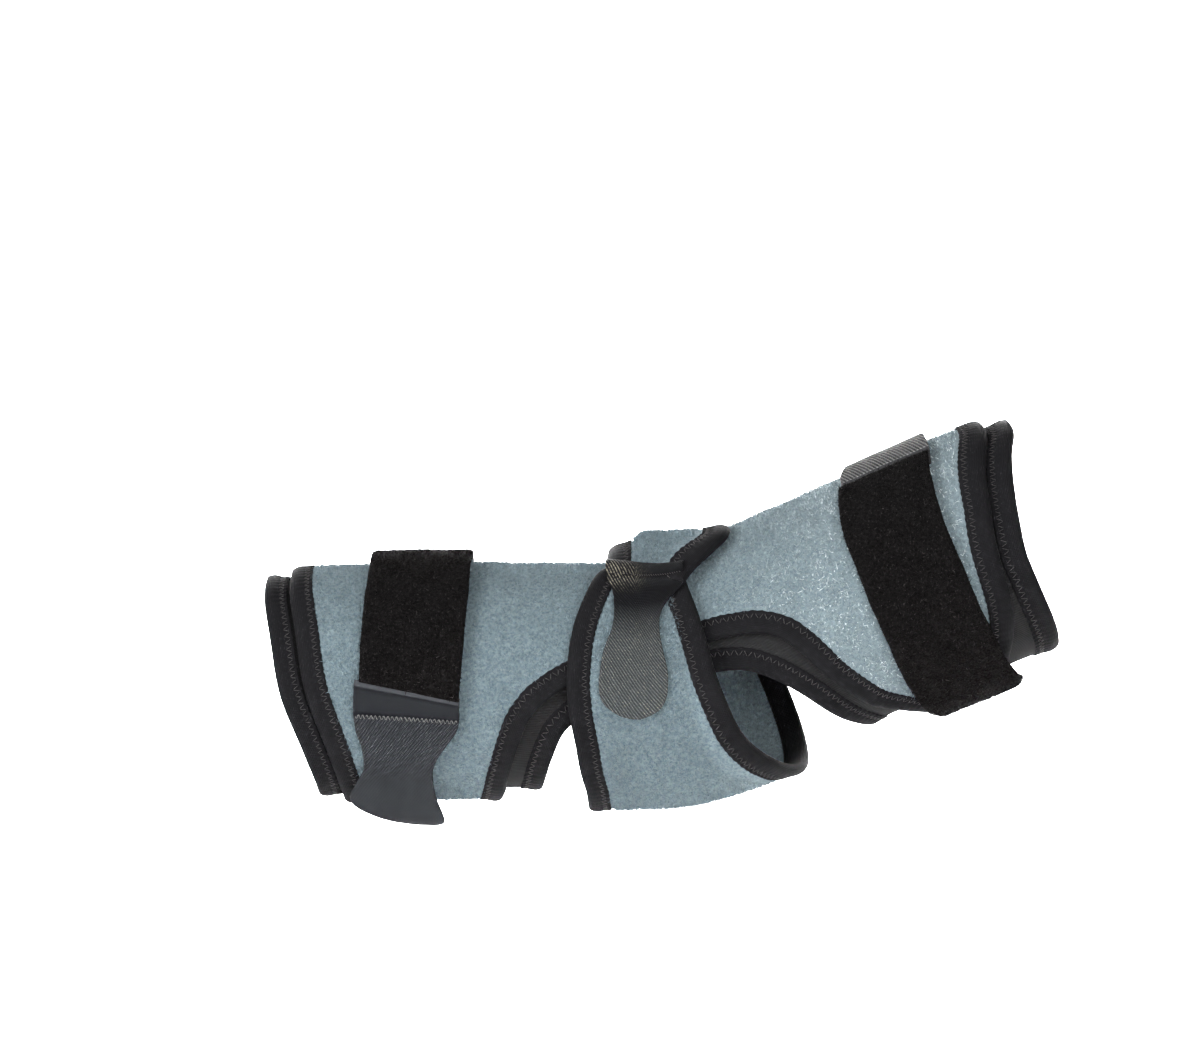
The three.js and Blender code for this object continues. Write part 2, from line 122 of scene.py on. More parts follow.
def on_arm(along, turn, height):
    """Place in mm: the bent axis at along, then up = lift + (high + height) cos(turn) across it and
    (deep + height) sin(turn) toward -Y."""
    along, turn, height = np.broadcast_arrays(*(np.asarray(v, float) for v in (along, turn, height)))
    height = height + softness(along, turn)
    arc = BEND_RADIUS * BEND
    bent = np.clip((along + arc / 2) / BEND_RADIUS, 0, BEND)
    before = np.minimum(along + arc / 2, 0)
    after = np.maximum(along - arc / 2, 0)
    axis_x = (-BEND_RADIUS * math.tan(BEND / 2) + BEND_RADIUS * np.sin(bent) + before
              + after * math.cos(BEND))
    axis_z = BEND_RADIUS * (1 - np.cos(bent)) + after * math.sin(BEND)
    share = along / np.where(along < 0, FOREARM_REACH, UPPER_ARM_REACH)
    high, deep, lift = (through(ARM_SECTIONS[:, 0], ARM_SECTIONS[:, k], share) for k in (1, 2, 3))
    angle = np.radians(turn)
    up = lift * HALF_HEIGHT + (high * HALF_HEIGHT + height) * np.cos(angle)
    y = -(deep * HALF_DEPTH + height) * np.sin(angle)
    return np.stack([axis_x - up * np.sin(bent), y, axis_z + up * np.cos(bent)], axis=-1)


def add_mesh(name, points, faces, uv=None, values=None, smooth=True):
    """Object from points in mm and an array of faces, with a uv per face corner and named values per
    point."""
    mesh = bpy.data.meshes.new(name)
    faces = np.asarray(faces, np.int32)
    sides = faces.shape[1]
    mesh.vertices.add(len(points))
    mesh.vertices.foreach_set("co", (np.asarray(points) * 0.001).astype(np.float32).ravel())
    mesh.loops.add(faces.size)
    mesh.loops.foreach_set("vertex_index", faces.ravel())
    mesh.polygons.add(len(faces))
    mesh.polygons.foreach_set("loop_start", np.arange(0, faces.size, sides, dtype=np.int32))
    if uv is not None:
        layer = mesh.uv_layers.new(name="cloth")
        layer.uv.foreach_set("vector", np.asarray(uv, np.float32).ravel())
    for key, value in (values or {}).items():
        layer = mesh.attributes.new(key, "FLOAT", "POINT")
        layer.data.foreach_set("value", np.asarray(value, np.float32).ravel())
    mesh.update(calc_edges=True)
    mesh.validate()
    mesh.polygons.foreach_set("use_smooth", np.full(len(mesh.polygons), smooth))
    obj = bpy.data.objects.new(name, mesh)
    bpy.context.collection.objects.link(obj)
    return obj


def grid_faces(rows, columns, close_rows=False, close_columns=False):
    """Corner numbers of the quads of a grid, and the same unjoined for reading a uv grid."""
    i, j = np.meshgrid(np.arange(rows - 1 + close_rows), np.arange(columns - 1 + close_columns),
                       indexing="ij")
    i, j = i.ravel(), j.ravel()

    def corner(a, b, width, height):
        return (a % height) * width + (b % width)

    steps = [(0, 0), (0, 1), (1, 1), (1, 0)]
    faces = np.stack([corner(i + a, j + b, columns, rows) for a, b in steps], axis=1)
    wide = columns + close_columns
    tall = rows + close_rows
    flat = np.stack([corner(i + a, j + b, wide, tall) for a, b in steps], axis=1)
    return faces, flat


def solidify(obj, thickness, even=True):
    """Cloth's thickness, inward from the modelled face."""
    wall = obj.modifiers.new("thickness", "SOLIDIFY")
    wall.thickness = thickness * 0.001
    wall.offset = -1.0
    wall.use_even_offset = even


def tube_sheet(name, wrist_at, upper_at, hole, top, rows=132):
    """Sheet wrapped into a tube: each column runs round the arm from -edge to +edge, where edge is 180
    degrees or the hole's angle there, set back 1.5 mm for the tape's fold, and the columns' ends follow
    the two end edges."""
    hole = hole.copy()
    hole[:, 0] += np.linspace(-1.5, 1.5, len(hole))
    hole[1:-1, 1] -= 2.4
    first, last = hole[0, 0], hole[-1, 0]
    spread = np.concatenate([
        np.linspace(first - 5, first, 3)[:-1],
        first + (last - first) * (0.5 - 0.5 * np.cos(np.linspace(0, np.pi, 74))),
        np.linspace(last, last + 5, 3)[1:],
    ])
    share = np.linspace(0, 1, rows + 1)[None, :]
    edge = np.where((spread > first) & (spread < last), through(hole[:, 0], hole[:, 1], spread), 180.0)
    turn_hole = (2 * share - 1) * edge[:, None]
    full = np.broadcast_to((2 * share - 1) * 180.0, (30, rows + 1))
    step = np.linspace(0, 1, 31)[:-1, None]
    low = wrist_at(np.abs(full)) * (1 - step) + spread[0] * step
    high = spread[-1] * (1 - (step + step[1])) + upper_at(np.abs(full)) * (step + step[1])
    along = np.concatenate([low, np.broadcast_to(spread[:, None], turn_hole.shape), high])
    turn = np.concatenate([full, turn_hole, full])
    edges = np.concatenate([np.full(30, 180.0), edge, np.full(30, 180.0)])
    points = on_arm(along, turn, top)
    faces, flat = grid_faces(*along.shape)
    joined = np.arange(along.size).reshape(along.shape)
    whole = edges > 179.9
    joined[whole, -1] = joined[whole, 0]
    uv = np.stack([along, turn * 0.66], axis=-1).reshape(-1, 2)[flat]
    faces = joined.ravel()[faces]
    used, faces = np.unique(faces, return_inverse=True)
    faces = faces.reshape(-1, 4)
    area = cloth_area(points)
    return add_mesh(name, points.reshape(-1, 3)[used], faces, uv), area


def cloth_area(points):
    """Area of a grid of places in square metres: half the cross product of each cell's diagonals."""
    a = points[1:, 1:] - points[:-1, :-1]
    b = points[1:, :-1] - points[:-1, 1:]
    return float(np.linalg.norm(np.cross(a, b), axis=-1).sum() / 2) * 1e-6


def ringed(edge):
    """Edge table by angle from the top, alike on both sides of the arm."""
    return lambda turn: through(edge[:, 0], edge[:, 1], np.abs((np.asarray(turn) + 180) % 360 - 180))


def add(tree, kind, inputs=None, **settings):
    """New node in a tree with its settings, and its inputs set to values or linked from sockets."""
    made = tree.nodes.new(kind)
    for key, value in settings.items():
        setattr(made, key, value)
    for key, value in (inputs or {}).items():
        if isinstance(value, bpy.types.NodeSocket):
            tree.links.new(value, made.inputs[key])
        else:
            made.inputs[key].default_value = value
    return made


def group(name, inputs, outputs):
    """Shader node group with named inputs (kind and value) and outputs (kind)."""
    tree = bpy.data.node_groups.new(name, "ShaderNodeTree")
    for key, (kind, value) in inputs.items():
        socket = tree.interface.new_socket(key, in_out="INPUT", socket_type=kind)
        if value is not None:
            socket.default_value = value
    for key, kind in outputs.items():
        tree.interface.new_socket(key, in_out="OUTPUT", socket_type=kind)
    source = tree.nodes.new("NodeGroupInput")
    sink = tree.nodes.new("NodeGroupOutput")
    return tree, source.outputs, sink.inputs


def math_node(tree, operation, *values, clamp=False):
    made = tree.nodes.new("ShaderNodeMath")
    made.operation = operation
    made.use_clamp = clamp
    for k, value in enumerate(values):
        if isinstance(value, bpy.types.NodeSocket):
            tree.links.new(value, made.inputs[k])
        else:
            made.inputs[k].default_value = value
    return made.outputs[0]


def ribs_group():
    """Woven or knitted ribs: 0.5 + 0.5 sin(2 pi (u cos a + v sin a) / period), its phase broken a
    little by noise, with cross threads that cut each rib into short floats."""
    tree, given, put = group(
        "Ribs",
        {"UV": ("NodeSocketVector", None), "Period": ("NodeSocketFloat", 1.2),
         "Slant": ("NodeSocketFloat", 0.6), "Cross": ("NodeSocketFloat", 1.0),
         "Waver": ("NodeSocketFloat", 0.15)},
        {"Rib": "NodeSocketFloat", "Height": "NodeSocketFloat"})
    parts = add(tree, "ShaderNodeSeparateXYZ", {"Vector": given["UV"]}).outputs
    cosine = math_node(tree, "COSINE", given["Slant"])
    sine = math_node(tree, "SINE", given["Slant"])
    across = math_node(tree, "ADD", math_node(tree, "MULTIPLY", parts["X"], cosine),
                       math_node(tree, "MULTIPLY", parts["Y"], sine))
    down = math_node(tree, "SUBTRACT", math_node(tree, "MULTIPLY", parts["Y"], cosine),
                     math_node(tree, "MULTIPLY", parts["X"], sine))
    noise = add(tree, "ShaderNodeTexNoise", {"Vector": given["UV"], "Scale": 0.35, "Detail": 2.0})
    shift = math_node(tree, "MULTIPLY", math_node(tree, "SUBTRACT", noise.outputs["Fac"], 0.5),
                      given["Waver"])
    turns = math_node(tree, "MULTIPLY", math_node(
        tree, "ADD", math_node(tree, "DIVIDE", across, given["Period"]), shift), 2 * math.pi)
    rib = math_node(tree, "MULTIPLY_ADD", math_node(tree, "SINE", turns), 0.5, 0.5)
    cross_turns = math_node(tree, "ADD", math_node(tree, "MULTIPLY", math_node(
        tree, "DIVIDE", down, given["Cross"]), 2 * math.pi), turns)
    cross = math_node(tree, "MULTIPLY_ADD", math_node(tree, "SINE", cross_turns), 0.5, 0.5)
    tree.links.new(rib, put["Rib"])
    tree.links.new(math_node(tree, "MULTIPLY_ADD", cross, 0.25, rib), put["Height"])
    return tree


def nap_group():
    """Brushed or looped pile: fine noise for the tufts, finer for their tips and broad noise where the
    pile lies another way."""
    tree, given, put = group(
        "Nap",
        {"Place": ("NodeSocketVector", None), "Tufts per metre": ("NodeSocketFloat", 900.0),
         "Patches per metre": ("NodeSocketFloat", 45.0)},
        {"Tuft": "NodeSocketFloat", "Tip": "NodeSocketFloat", "Patch": "NodeSocketFloat",
         "Height": "NodeSocketFloat"})
    tuft = add(tree, "ShaderNodeTexNoise", {"Vector": given["Place"], "Scale": given["Tufts per metre"],
                                           "Detail": 3.0, "Roughness": 0.65}).outputs["Fac"]
    finer = math_node(tree, "MULTIPLY", given["Tufts per metre"], 2.1)
    tip = add(tree, "ShaderNodeTexVoronoi",
              {"Vector": given["Place"], "Scale": finer}).outputs["Distance"]
    patch = add(tree, "ShaderNodeTexNoise", {"Vector": given["Place"],
                                            "Scale": given["Patches per metre"], "Detail": 4.0,
                                            "Roughness": 0.6}).outputs["Fac"]
    sharp = add(tree, "ShaderNodeMapRange", {"Value": tuft, "From Min": 0.34, "From Max": 0.66})
    spark = add(tree, "ShaderNodeMapRange", {"Value": tip, "From Min": 0.45, "From Max": 0.05})
    tree.links.new(sharp.outputs[0], put["Tuft"])
    tree.links.new(spark.outputs[0], put["Tip"])
    tree.links.new(patch, put["Patch"])
    tree.links.new(math_node(tree, "MULTIPLY_ADD", spark.outputs[0], 0.35, sharp.outputs[0]),
                   put["Height"])
    return tree


RIBS = ribs_group()
NAP = nap_group()


def nap_at(tree, place, tufts, patches=45.0):
    """The Nap group in a tree, with its tufts and patches per metre."""
    return add(tree, "ShaderNodeGroup", {"Place": place, "Tufts per metre": tufts,
                                         "Patches per metre": patches}, node_tree=NAP)


def blend(tree, share, dark, light, clamp=True):
    """Colour between two by a share, or past the second where it isn't clamped."""
    made = add(tree, "ShaderNodeMix", {0: share}, data_type="RGBA", clamp_factor=clamp)
    for k, value in ((6, dark), (7, light)):
        if isinstance(value, bpy.types.NodeSocket):
            tree.links.new(value, made.inputs[k])
        else:
            made.inputs[k].default_value = (*value, 1.0)
    return made.outputs[2]


def cloth_material(name, roughness, sheen, sheen_roughness=0.5, specular=0.3):
    """New material with its Principled node, its tree, and its uv in mm and place in metres."""
    made = bpy.data.materials.new(name)
    made.use_nodes = True
    tree = made.node_tree
    shader = tree.nodes["Principled BSDF"]
    shader.inputs["Roughness"].default_value = roughness
    shader.inputs["Sheen Weight"].default_value = sheen
    shader.inputs["Sheen Roughness"].default_value = sheen_roughness
    shader.inputs["Specular IOR Level"].default_value = specular
    uv = add(tree, "ShaderNodeUVMap", uv_map="cloth").outputs["UV"]
    place = add(tree, "ShaderNodeTexCoord").outputs["Object"]
    return made, tree, shader, uv, place


def bump(tree, shader, height, distance, strength=1.0):
    made = add(tree, "ShaderNodeBump", {"Height": height, "Distance": distance, "Strength": strength})
    tree.links.new(made.outputs["Normal"], shader.inputs["Normal"])


charcoal, tree, shader, uv, place = cloth_material("charcoal_knit", 0.85, 0.02, specular=0.08)
ribs = add(tree, "ShaderNodeGroup", {"UV": uv, "Period": 0.9, "Slant": 1.45, "Cross": 0.8},
           node_tree=RIBS)
nap = nap_at(tree, place, 1400.0)
colour = blend(tree, nap.outputs["Patch"], (0.015, 0.015, 0.0155), (0.025, 0.025, 0.026))
colour = blend(tree, math_node(tree, "MULTIPLY", ribs.outputs["Rib"], 0.25), colour,
               (0.038, 0.038, 0.039))
tree.links.new(colour, shader.inputs["Base Color"])
bump(tree, shader, ribs.outputs["Height"], 0.00016, 0.7)

wrist_of = ringed(WRIST_EDGE)
liner_upper_of = ringed(LINER_UPPER_EDGE)
liner, liner_area = tube_sheet("liner_cloth", lambda turn: wrist_of(turn) + EDGE_INSET,
                               lambda turn: liner_upper_of(turn) - EDGE_INSET, LINER_HOLE, LINER_TOP)
solidify(liner, LINER_THICKNESS)
liner.data.materials.append(charcoal)

# The liner's three edge tapes: narrow black knitted tape folded over each raw edge of the liner and
# held by a zigzag seam near its inner side.
TAPE_WIDTH = 8.4
UPPER_TAPE_WIDTH = 9.6
STITCH_PERIOD = 2.6


def edge_path(points, closed, spacing, height):
    """Places every spacing mm along a smooth curve through points (along, turn)."""
    points = np.asarray(points, float)
    if closed:
        lap = np.array([0, 360 * round((points[-1, 1] - points[0, 1]) / 360)])
        points = np.concatenate([points[-3:] - lap, points, points[:4] + lap])
    chord = np.hypot(np.diff(points[:, 0]), np.diff(points[:, 1]) * 0.68)
    where = np.concatenate([[0], np.cumsum(chord)])
    first, last = (where[3], where[-4]) if closed else (where[0], where[-1])
    fine = np.linspace(first, last, 4000)
    along, turn = through(where, points[:, 0], fine), through(where, points[:, 1], fine)
    run = np.concatenate([[0], np.cumsum(np.linalg.norm(np.diff(on_arm(along, turn, height), axis=0),
                                                        axis=1))])
    count = max(8, int(round(run[-1] / spacing)))
    at = np.linspace(0, run[-1], count + 1)
    at = at[:-1] if closed else at
    return np.interp(at, run, along), np.interp(at, run, turn), at, run[-1]


def ring_points(edge_of):
    """Edge of a tube's end as points from 0 degrees all the way round."""
    turn = np.arange(0, 360, 6.0)
    return np.stack([edge_of(turn), turn], axis=1)


def hole_points(hole):
    """Edge of an elbow hole as a closed run of points: the near half, then the far one."""
    far = hole[1:-1][::-1].copy()
    far[:, 1] = 360 - far[:, 1]
    return np.concatenate([hole, far])


def aside(along, turn, height, closed, reach=9.0, step=0.5):
    """Places at every step mm sideways from a path, along the cloth: each step divides by how many mm
    one unit of along and one degree of turn cover there. Returns a function of the distance."""
    if closed:
        d_along = np.roll(along, -1) - np.roll(along, 1)
        d_turn = (np.roll(turn, -1) - np.roll(turn, 1) + 180) % 360 - 180
    else:
        d_along, d_turn = np.gradient(along), np.gradient(turn)

    def cover(a, t):
        here = on_arm(a, t, height)
        return (np.linalg.norm(on_arm(a + 0.5, t, height) - here, axis=1) / 0.5,
                np.linalg.norm(on_arm(a, t + 0.5, height) - here, axis=1) / 0.5)

    per_along, per_turn = cover(along, turn)
    run = np.hypot(d_along * per_along, d_turn * per_turn)
    way_along, way_turn = d_turn * per_turn / run, -d_along * per_along / run
    places = [(along, turn)]
    for _ in range(int(reach / step)):
        a, t = places[-1]
        per_along, per_turn = cover(a, t)
        places.append((a + way_along * step / per_along, t + way_turn * step / per_turn))
    a, t = (np.stack(rows, axis=1) for rows in zip(*places))

    def at(across, rows=None):
        rows = np.arange(len(along)) if rows is None else rows
        low = np.clip(np.floor(across / step).astype(int), 0, a.shape[1] - 2)
        part = across / step - low
        rows = rows.reshape(rows.shape + (1,) * (across.ndim - rows.ndim))
        return (a[rows, low] * (1 - part) + a[rows, low + 1] * part,
                t[rows, low] * (1 - part) + t[rows, low + 1] * part)

    return at


def tape_profile(cloth, width):
    """Folded tape across the edge: (distance from the fold, height over the cloth's underside,
    how much of the pucker it takes). Drawn for a tape 8 mm wide and stretched to width."""
    return np.array([
        [8.0, -0.55, 0], [5.0, -0.6, 0], [2.0, -0.6, 0], [0.7, -0.3, 0], [0.1, cloth * 0.25, 0],
        [0.0, cloth * 0.6, 0], [0.25, cloth + 0.2, 0], [0.8, cloth + 0.65, 0.1],
        [1.7, cloth + 1.0, 0.2], [2.8, cloth + 1.12, 0.3], [3.9, cloth + 0.98, 0.5],
        [4.9, cloth + 0.72, 0.8], [5.7, cloth + 0.52, 1.0], [6.5, cloth + 0.46, 1.0],
        [7.2, cloth + 0.52, 0.9], [7.8, cloth + 0.5, 0.9], [8.05, cloth + 0.25, 0.8],
        [7.8, cloth + 0.05, 0.5], [4.0, cloth + 0.05, 0], [1.2, cloth + 0.03, 0],
        [0.9, cloth * 0.5, 0], [1.2, -0.03, 0], [4.0, -0.05, 0], [8.0, -0.06, 0],
    ]) * [width / 8.0, 1, 1]


def sewn_tape(name, node, points, side, closed, base, cloth, lift=None, width=TAPE_WIDTH):
    """Folded tape swept along an edge, and the zigzag thread that holds it. Puckers lower the tape by
    0.2 mm at each stitch: h - 0.2 w cos(2 pi s / period)."""
    along, turn, run, total = edge_path(points, closed, STITCH_PERIOD / 4, base + cloth)
    if side < 0:
        along, turn = along[::-1], turn[::-1]
    beside = aside(along, turn, base + cloth, closed, width + 1)
    periods = max(1, round(total / STITCH_PERIOD))
    phase = 2 * np.pi * periods * run / total
    seed = np.random.default_rng(len(name) * 7 + int(total))
    uneven = np.convolve(np.tile(seed.normal(0, 1, len(along)), 3), np.hanning(9) / 4, "same")
    uneven = uneven[len(along):2 * len(along)]
    profile = tape_profile(cloth, width)
    across = profile[None, :, 0] + profile[None, :, 2] * (0.16 * np.sin(phase) + 0.10 * uneven)[:, None]
    up = profile[None, :, 1] + profile[None, :, 2] * (-0.17 * np.cos(phase) + 0.10 * uneven)[:, None]
    a, t = beside(across)
    ground = base if lift is None else lift(a, t)
    rings = on_arm(a, t, ground + up)
    faces, flat = grid_faces(*rings.shape[:2], close_rows=closed, close_columns=True)
    girth = np.concatenate([[0], np.cumsum(np.hypot(np.diff(profile[:, 0], append=profile[0, 0]),
                                                   np.diff(profile[:, 1], append=profile[0, 1])))])
    along_uv = np.append(run, total) if closed else run
    uv = np.stack(np.broadcast_arrays(girth[None, :], along_uv[:, None]), axis=-1).reshape(-1, 2)[flat]
    tape = add_mesh(name, rings.reshape(-1, 3), faces[:, ::-1], uv[:, ::-1])
    if not closed:
        cap_ends(tape, len(profile), len(along))
    tape.data.materials.append(tape_finish)
    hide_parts(node)
    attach(tape, "root")

    at = np.arange(periods * 6 + (0 if closed else 1)) / 6
    where = at / periods * len(along) if closed else at / periods * (len(along) - 1)
    low = np.clip(np.floor(where).astype(int), 0, len(along) - 1)
    high = (low + 1) % len(along) if closed else np.minimum(low + 1, len(along) - 1)
    part = where - low
    zig = np.interp(at % 1, [0, 0.5, 1], [4.9, 7.4, 4.9]) * width / 8
    (a0, t0), (a1, t1) = beside(zig, low), beside(zig, high)
    t1 = t1 + 360 * np.round((t0 - t1) / 360)
    a, t = a0 + (a1 - a0) * part, t0 + (t1 - t0) * part
    dip = np.array([-0.22, 0.02, 0.06, -0.28, 0.06, 0.02])[np.arange(len(at)) % 6]
    ground = base if lift is None else lift(a, t)
    height = ground + cloth + 0.55 + dip
    thread = cord_mesh(name + "_thread", on_arm(a, t, height), on_arm(a, t, height + 1), 0.15, closed)
    thread.data.materials.append(thread_finish)
    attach(thread, "root")
    return tape, thread


def cap_ends(obj, columns, rows):
    """Close both ends of a swept profile with one face each."""
    mesh = obj.data
    points = np.empty(len(mesh.vertices) * 3, np.float32)
    mesh.vertices.foreach_get("co", points)
    quads = np.empty(len(mesh.loops), np.int32)
    mesh.loops.foreach_get("vertex_index", quads)
    first = np.arange(columns)
    last = (rows - 1) * columns + first[::-1]
    faces = quads.reshape(-1, 4).tolist() + [first.tolist(), last.tolist()]
    uv = np.zeros(len(mesh.loops) * 2, np.float32)
    mesh.uv_layers["cloth"].uv.foreach_get("vector", uv)
    capped = bpy.data.meshes.new(mesh.name)
    capped.from_pydata(points.reshape(-1, 3).tolist(), [], faces)
    layer = capped.uv_layers.new(name="cloth")
    layer.uv.foreach_set("vector", np.concatenate([uv, np.zeros(4 * columns, np.float32)]))
    capped.polygons.foreach_set("use_smooth", np.ones(len(faces), bool))
    obj.data = capped


def cord_mesh(name, line, above, radius, closed, sides=5):
    """Thin round thread along a line: circles of radius in the plane of the surface normal and the
    side direction."""
    forward = (np.roll(line, -1, 0) - np.roll(line, 1, 0)) if closed else np.gradient(line, axis=0)
    up = above - line
    up /= np.linalg.norm(up, axis=1, keepdims=True)
    aside_of = np.cross(forward, up)
    aside_of /= np.maximum(np.linalg.norm(aside_of, axis=1, keepdims=True), 1e-9)
    angle = np.arange(sides) * 2 * np.pi / sides
    rings = (line[:, None] + radius * (np.cos(angle)[None, :, None] * aside_of[:, None]
                                       + np.sin(angle)[None, :, None] * up[:, None]))
    faces, _ = grid_faces(len(line), sides, close_rows=closed, close_columns=True)
    return add_mesh(name, rings.reshape(-1, 3), faces[:, ::-1])


tape_finish, tree, shader, uv, place = cloth_material("binding_tape", 0.8, 0.01, specular=0.06)
ribs = add(tree, "ShaderNodeGroup", {"UV": uv, "Period": 0.62, "Slant": 0.0, "Cross": 0.55,
                                     "Waver": 0.3}, node_tree=RIBS)
nap = nap_at(tree, place, 1700.0, 90.0)
colour = blend(tree, nap.outputs["Patch"], (0.0068, 0.0068, 0.0078), (0.0135, 0.0135, 0.0150))
colour = blend(tree, math_node(tree, "MULTIPLY", ribs.outputs["Rib"], 0.3), colour,
               (0.016, 0.016, 0.018))
tree.links.new(colour, shader.inputs["Base Color"])
bump(tree, shader, ribs.outputs["Height"], 0.00012, 0.8)

thread_finish, tree, shader, uv, place = cloth_material("tape_thread", 0.5, 0.1, specular=0.4)
nap = nap_at(tree, place, 3000.0)
tree.links.new(blend(tree, nap.outputs["Tuft"], (0.013, 0.0125, 0.013), (0.032, 0.030, 0.029)),
               shader.inputs["Base Color"])

LINER_BASE = LINER_TOP - LINER_THICKNESS
liner_tapes = [
    sewn_tape("liner_tape_wrist", "liner_binding_wrist", ring_points(wrist_of), 1, True,
              LINER_BASE + 0.7, LINER_THICKNESS),
    sewn_tape("liner_tape_upper", "liner_binding_upper", ring_points(liner_upper_of), -1, True,
              LINER_BASE, LINER_THICKNESS, width=UPPER_TAPE_WIDTH),
    sewn_tape("liner_tape_elbow", "liner_binding_elbow", hole_points(LINER_HOLE), 1, True,
              LINER_BASE, LINER_THICKNESS),
]
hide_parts("liner")
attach(liner, "root")

# The outer sleeve: a thicker plush in blue-grey over the liner, brushed so that it stands up in fine
# tufts. It ends short of the liner at both ends and its elbow hole is larger.
PLUSH_TOP = 6.9
PLUSH_THICKNESS = 2.5
PLUSH_UPPER_EDGE = np.array([
    [0, 140.4], [23, 139.1], [51, 131.6], [71, 127.4], [87, 124.0], [118, 121.0], [136, 117.0],
    [150, 113.4], [180, 112.0],
])
PLUSH_HOLE = np.array([
    [-65.0, 180], [-64.0, 163], [-61.5, 138.5], [-56.0, 111.5], [-51.0, 101], [-45.0, 94.5],
    [-41.5, 91.5], [-30.0, 84], [-15.0, 78], [0.0, 75], [15.5, 76], [25.0, 78.5], [33.0, 82],
    [39.5, 88.5], [44.5, 99.5], [49.0, 113.5], [54.5, 127], [60.5, 140], [68.0, 151], [76.0, 166],
    [79.0, 180],
])
PLUSH_SET_BACK = 9.4
PLUSH_UPPER_INSET = 6.0
PILE_SINK = 0.05
# a blade of pile: its length, width and lean
PILE_BLADE = (1.25, 0.34, 0.75)


def pile(name, along, turn, height, length, width, lean, seed):
    """Short fibres standing on a surface, one three-cornered blade each: its foot across a random
    direction, its tip at length over the surface and a random lean aside. Shade is a random number."""
    rng = np.random.default_rng(seed)
    foot = on_arm(along, turn, height)
    up = on_arm(along, turn, height + 1) - foot
    up /= np.linalg.norm(up, axis=1, keepdims=True)
    any_way = rng.normal(size=foot.shape)
    across = np.cross(up, any_way)
    across /= np.linalg.norm(across, axis=1, keepdims=True)
    lean_way = np.cross(up, rng.normal(size=foot.shape))
    tall = length * rng.uniform(0.45, 1.15, (len(foot), 1))
    tip = foot + up * tall + lean_way * lean * tall
    half = across * width / 2 * rng.uniform(0.7, 1.3, (len(foot), 1))
    points = np.stack([foot - half, foot + half, tip], axis=1).reshape(-1, 3)
    faces = np.arange(len(points)).reshape(-1, 3)
    shade = np.repeat(rng.uniform(0, 1, len(foot)), 3)
    return add_mesh(name, points, faces, values={"shade": shade}, smooth=False)


def near_path(along, turn, path, reach, closed=True):
    """Whether places lie within reach of a run of points (along, turn), measured on the cloth."""
    fine_along, fine_turn, _, _ = edge_path(path, closed, 2.0, 7.0)
    away = np.hypot(along[:, None] - fine_along[None, ::2],
                    (turn[:, None] - fine_turn[None, ::2]) * 0.72)
    return away.min(axis=1) < reach


def lit_and_brushed(tree, place):
    """Painted light on the upper arm, where the light falls more, together with pile brushed up there:
    a share that rises from 0.1 on the forearm to 1 on the upper arm, in soft patches."""
    parts = add(tree, "ShaderNodeSeparateXYZ", {"Vector": place}).outputs
    broad = add(tree, "ShaderNodeTexNoise",
                {"Vector": place, "Scale": 26.0, "Detail": 3.0}).outputs["Fac"]
    shifted = math_node(tree, "MULTIPLY_ADD", broad, 0.05, parts["X"])
    return add(tree, "ShaderNodeMapRange", {"Value": shifted, "From Min": 0.025, "From Max": 0.075,
                                            "To Min": 0.1, "To Max": 1.0}).outputs[0]


def patched_and_lit(tree, place, nap, colour, most, dull):
    """Colour turned to a dull one by up to most in broad patches, and lightened towards the upper arm:
    painted light there, with pile brushed up.
    """
    patch = add(tree, "ShaderNodeMapRange", {"Value": nap.outputs["Patch"], "From Min": 0.35,
                                             "From Max": 0.65, "To Min": 0.0, "To Max": most})
    colour = blend(tree, patch.outputs[0], colour, dull)
    # Painted light: the colour lightened towards the upper arm.
    return blend(tree, math_node(tree, "MULTIPLY", lit_and_brushed(tree, place), 0.2), colour,
                 (0.42, 0.50, 0.53))


plush_finish, tree, shader, uv, place = cloth_material("plush", 0.95, 0.10, 0.6, specular=0.05)
nap = nap_at(tree, place, 850.0, 60.0)
colour = blend(tree, nap.outputs["Tuft"], (0.120, 0.168, 0.195), (0.255, 0.335, 0.372))
# Painted sparkle highlights: pale fibre tips, mostly towards the upper arm where the light falls.
spark = math_node(tree, "MULTIPLY", nap.outputs["Tip"], lit_and_brushed(tree, place))
colour = blend(tree, math_node(tree, "MULTIPLY", spark, 0.5), colour, (0.50, 0.58, 0.61))
colour = patched_and_lit(tree, place, nap, colour, 0.22, (0.120, 0.168, 0.198))
tree.links.new(colour, shader.inputs["Base Color"])
bump(tree, shader, nap.outputs["Height"], 0.0007, 0.8)

plush_pile, tree, shader, uv, place = cloth_material("plush_pile", 0.85, 0.40, 0.4, specular=0.08)
shade = add(tree, "ShaderNodeAttribute", attribute_name="shade").outputs["Fac"]
nap = nap_at(tree, place, 700.0, 60.0)
lit = math_node(tree, "MULTIPLY_ADD", nap.outputs["Tuft"], 0.6,
                math_node(tree, "MULTIPLY", shade, 0.4))
colour = blend(tree, lit, (0.085, 0.128, 0.155), (0.330, 0.415, 0.452))
colour = patched_and_lit(tree, place, nap, colour, 0.3, (0.13, 0.18, 0.215))
# Painted sparkle highlights: a few blades turned nearly white, most towards the upper arm where the
# light falls.
sparkle_highlight = math_node(tree, "MULTIPLY_ADD", nap.outputs["Tuft"], 0.35,
                   math_node(tree, "MULTIPLY", shade, 0.65))
sparkle_highlight = add(tree, "ShaderNodeMapRange", {"Value": sparkle_highlight, "From Min": 0.58, "From Max": 0.80})
sparkle_highlight = math_node(tree, "MULTIPLY", sparkle_highlight.outputs[0],
                   math_node(tree, "POWER", lit_and_brushed(tree, place), 1.7))
tree.links.new(blend(tree, sparkle_highlight, colour, (0.80, 0.88, 0.90)), shader.inputs["Base Color"])

plush_upper_of = ringed(PLUSH_UPPER_EDGE)


def plush_wrist_of(turn):
    return wrist_of(turn) + PLUSH_SET_BACK


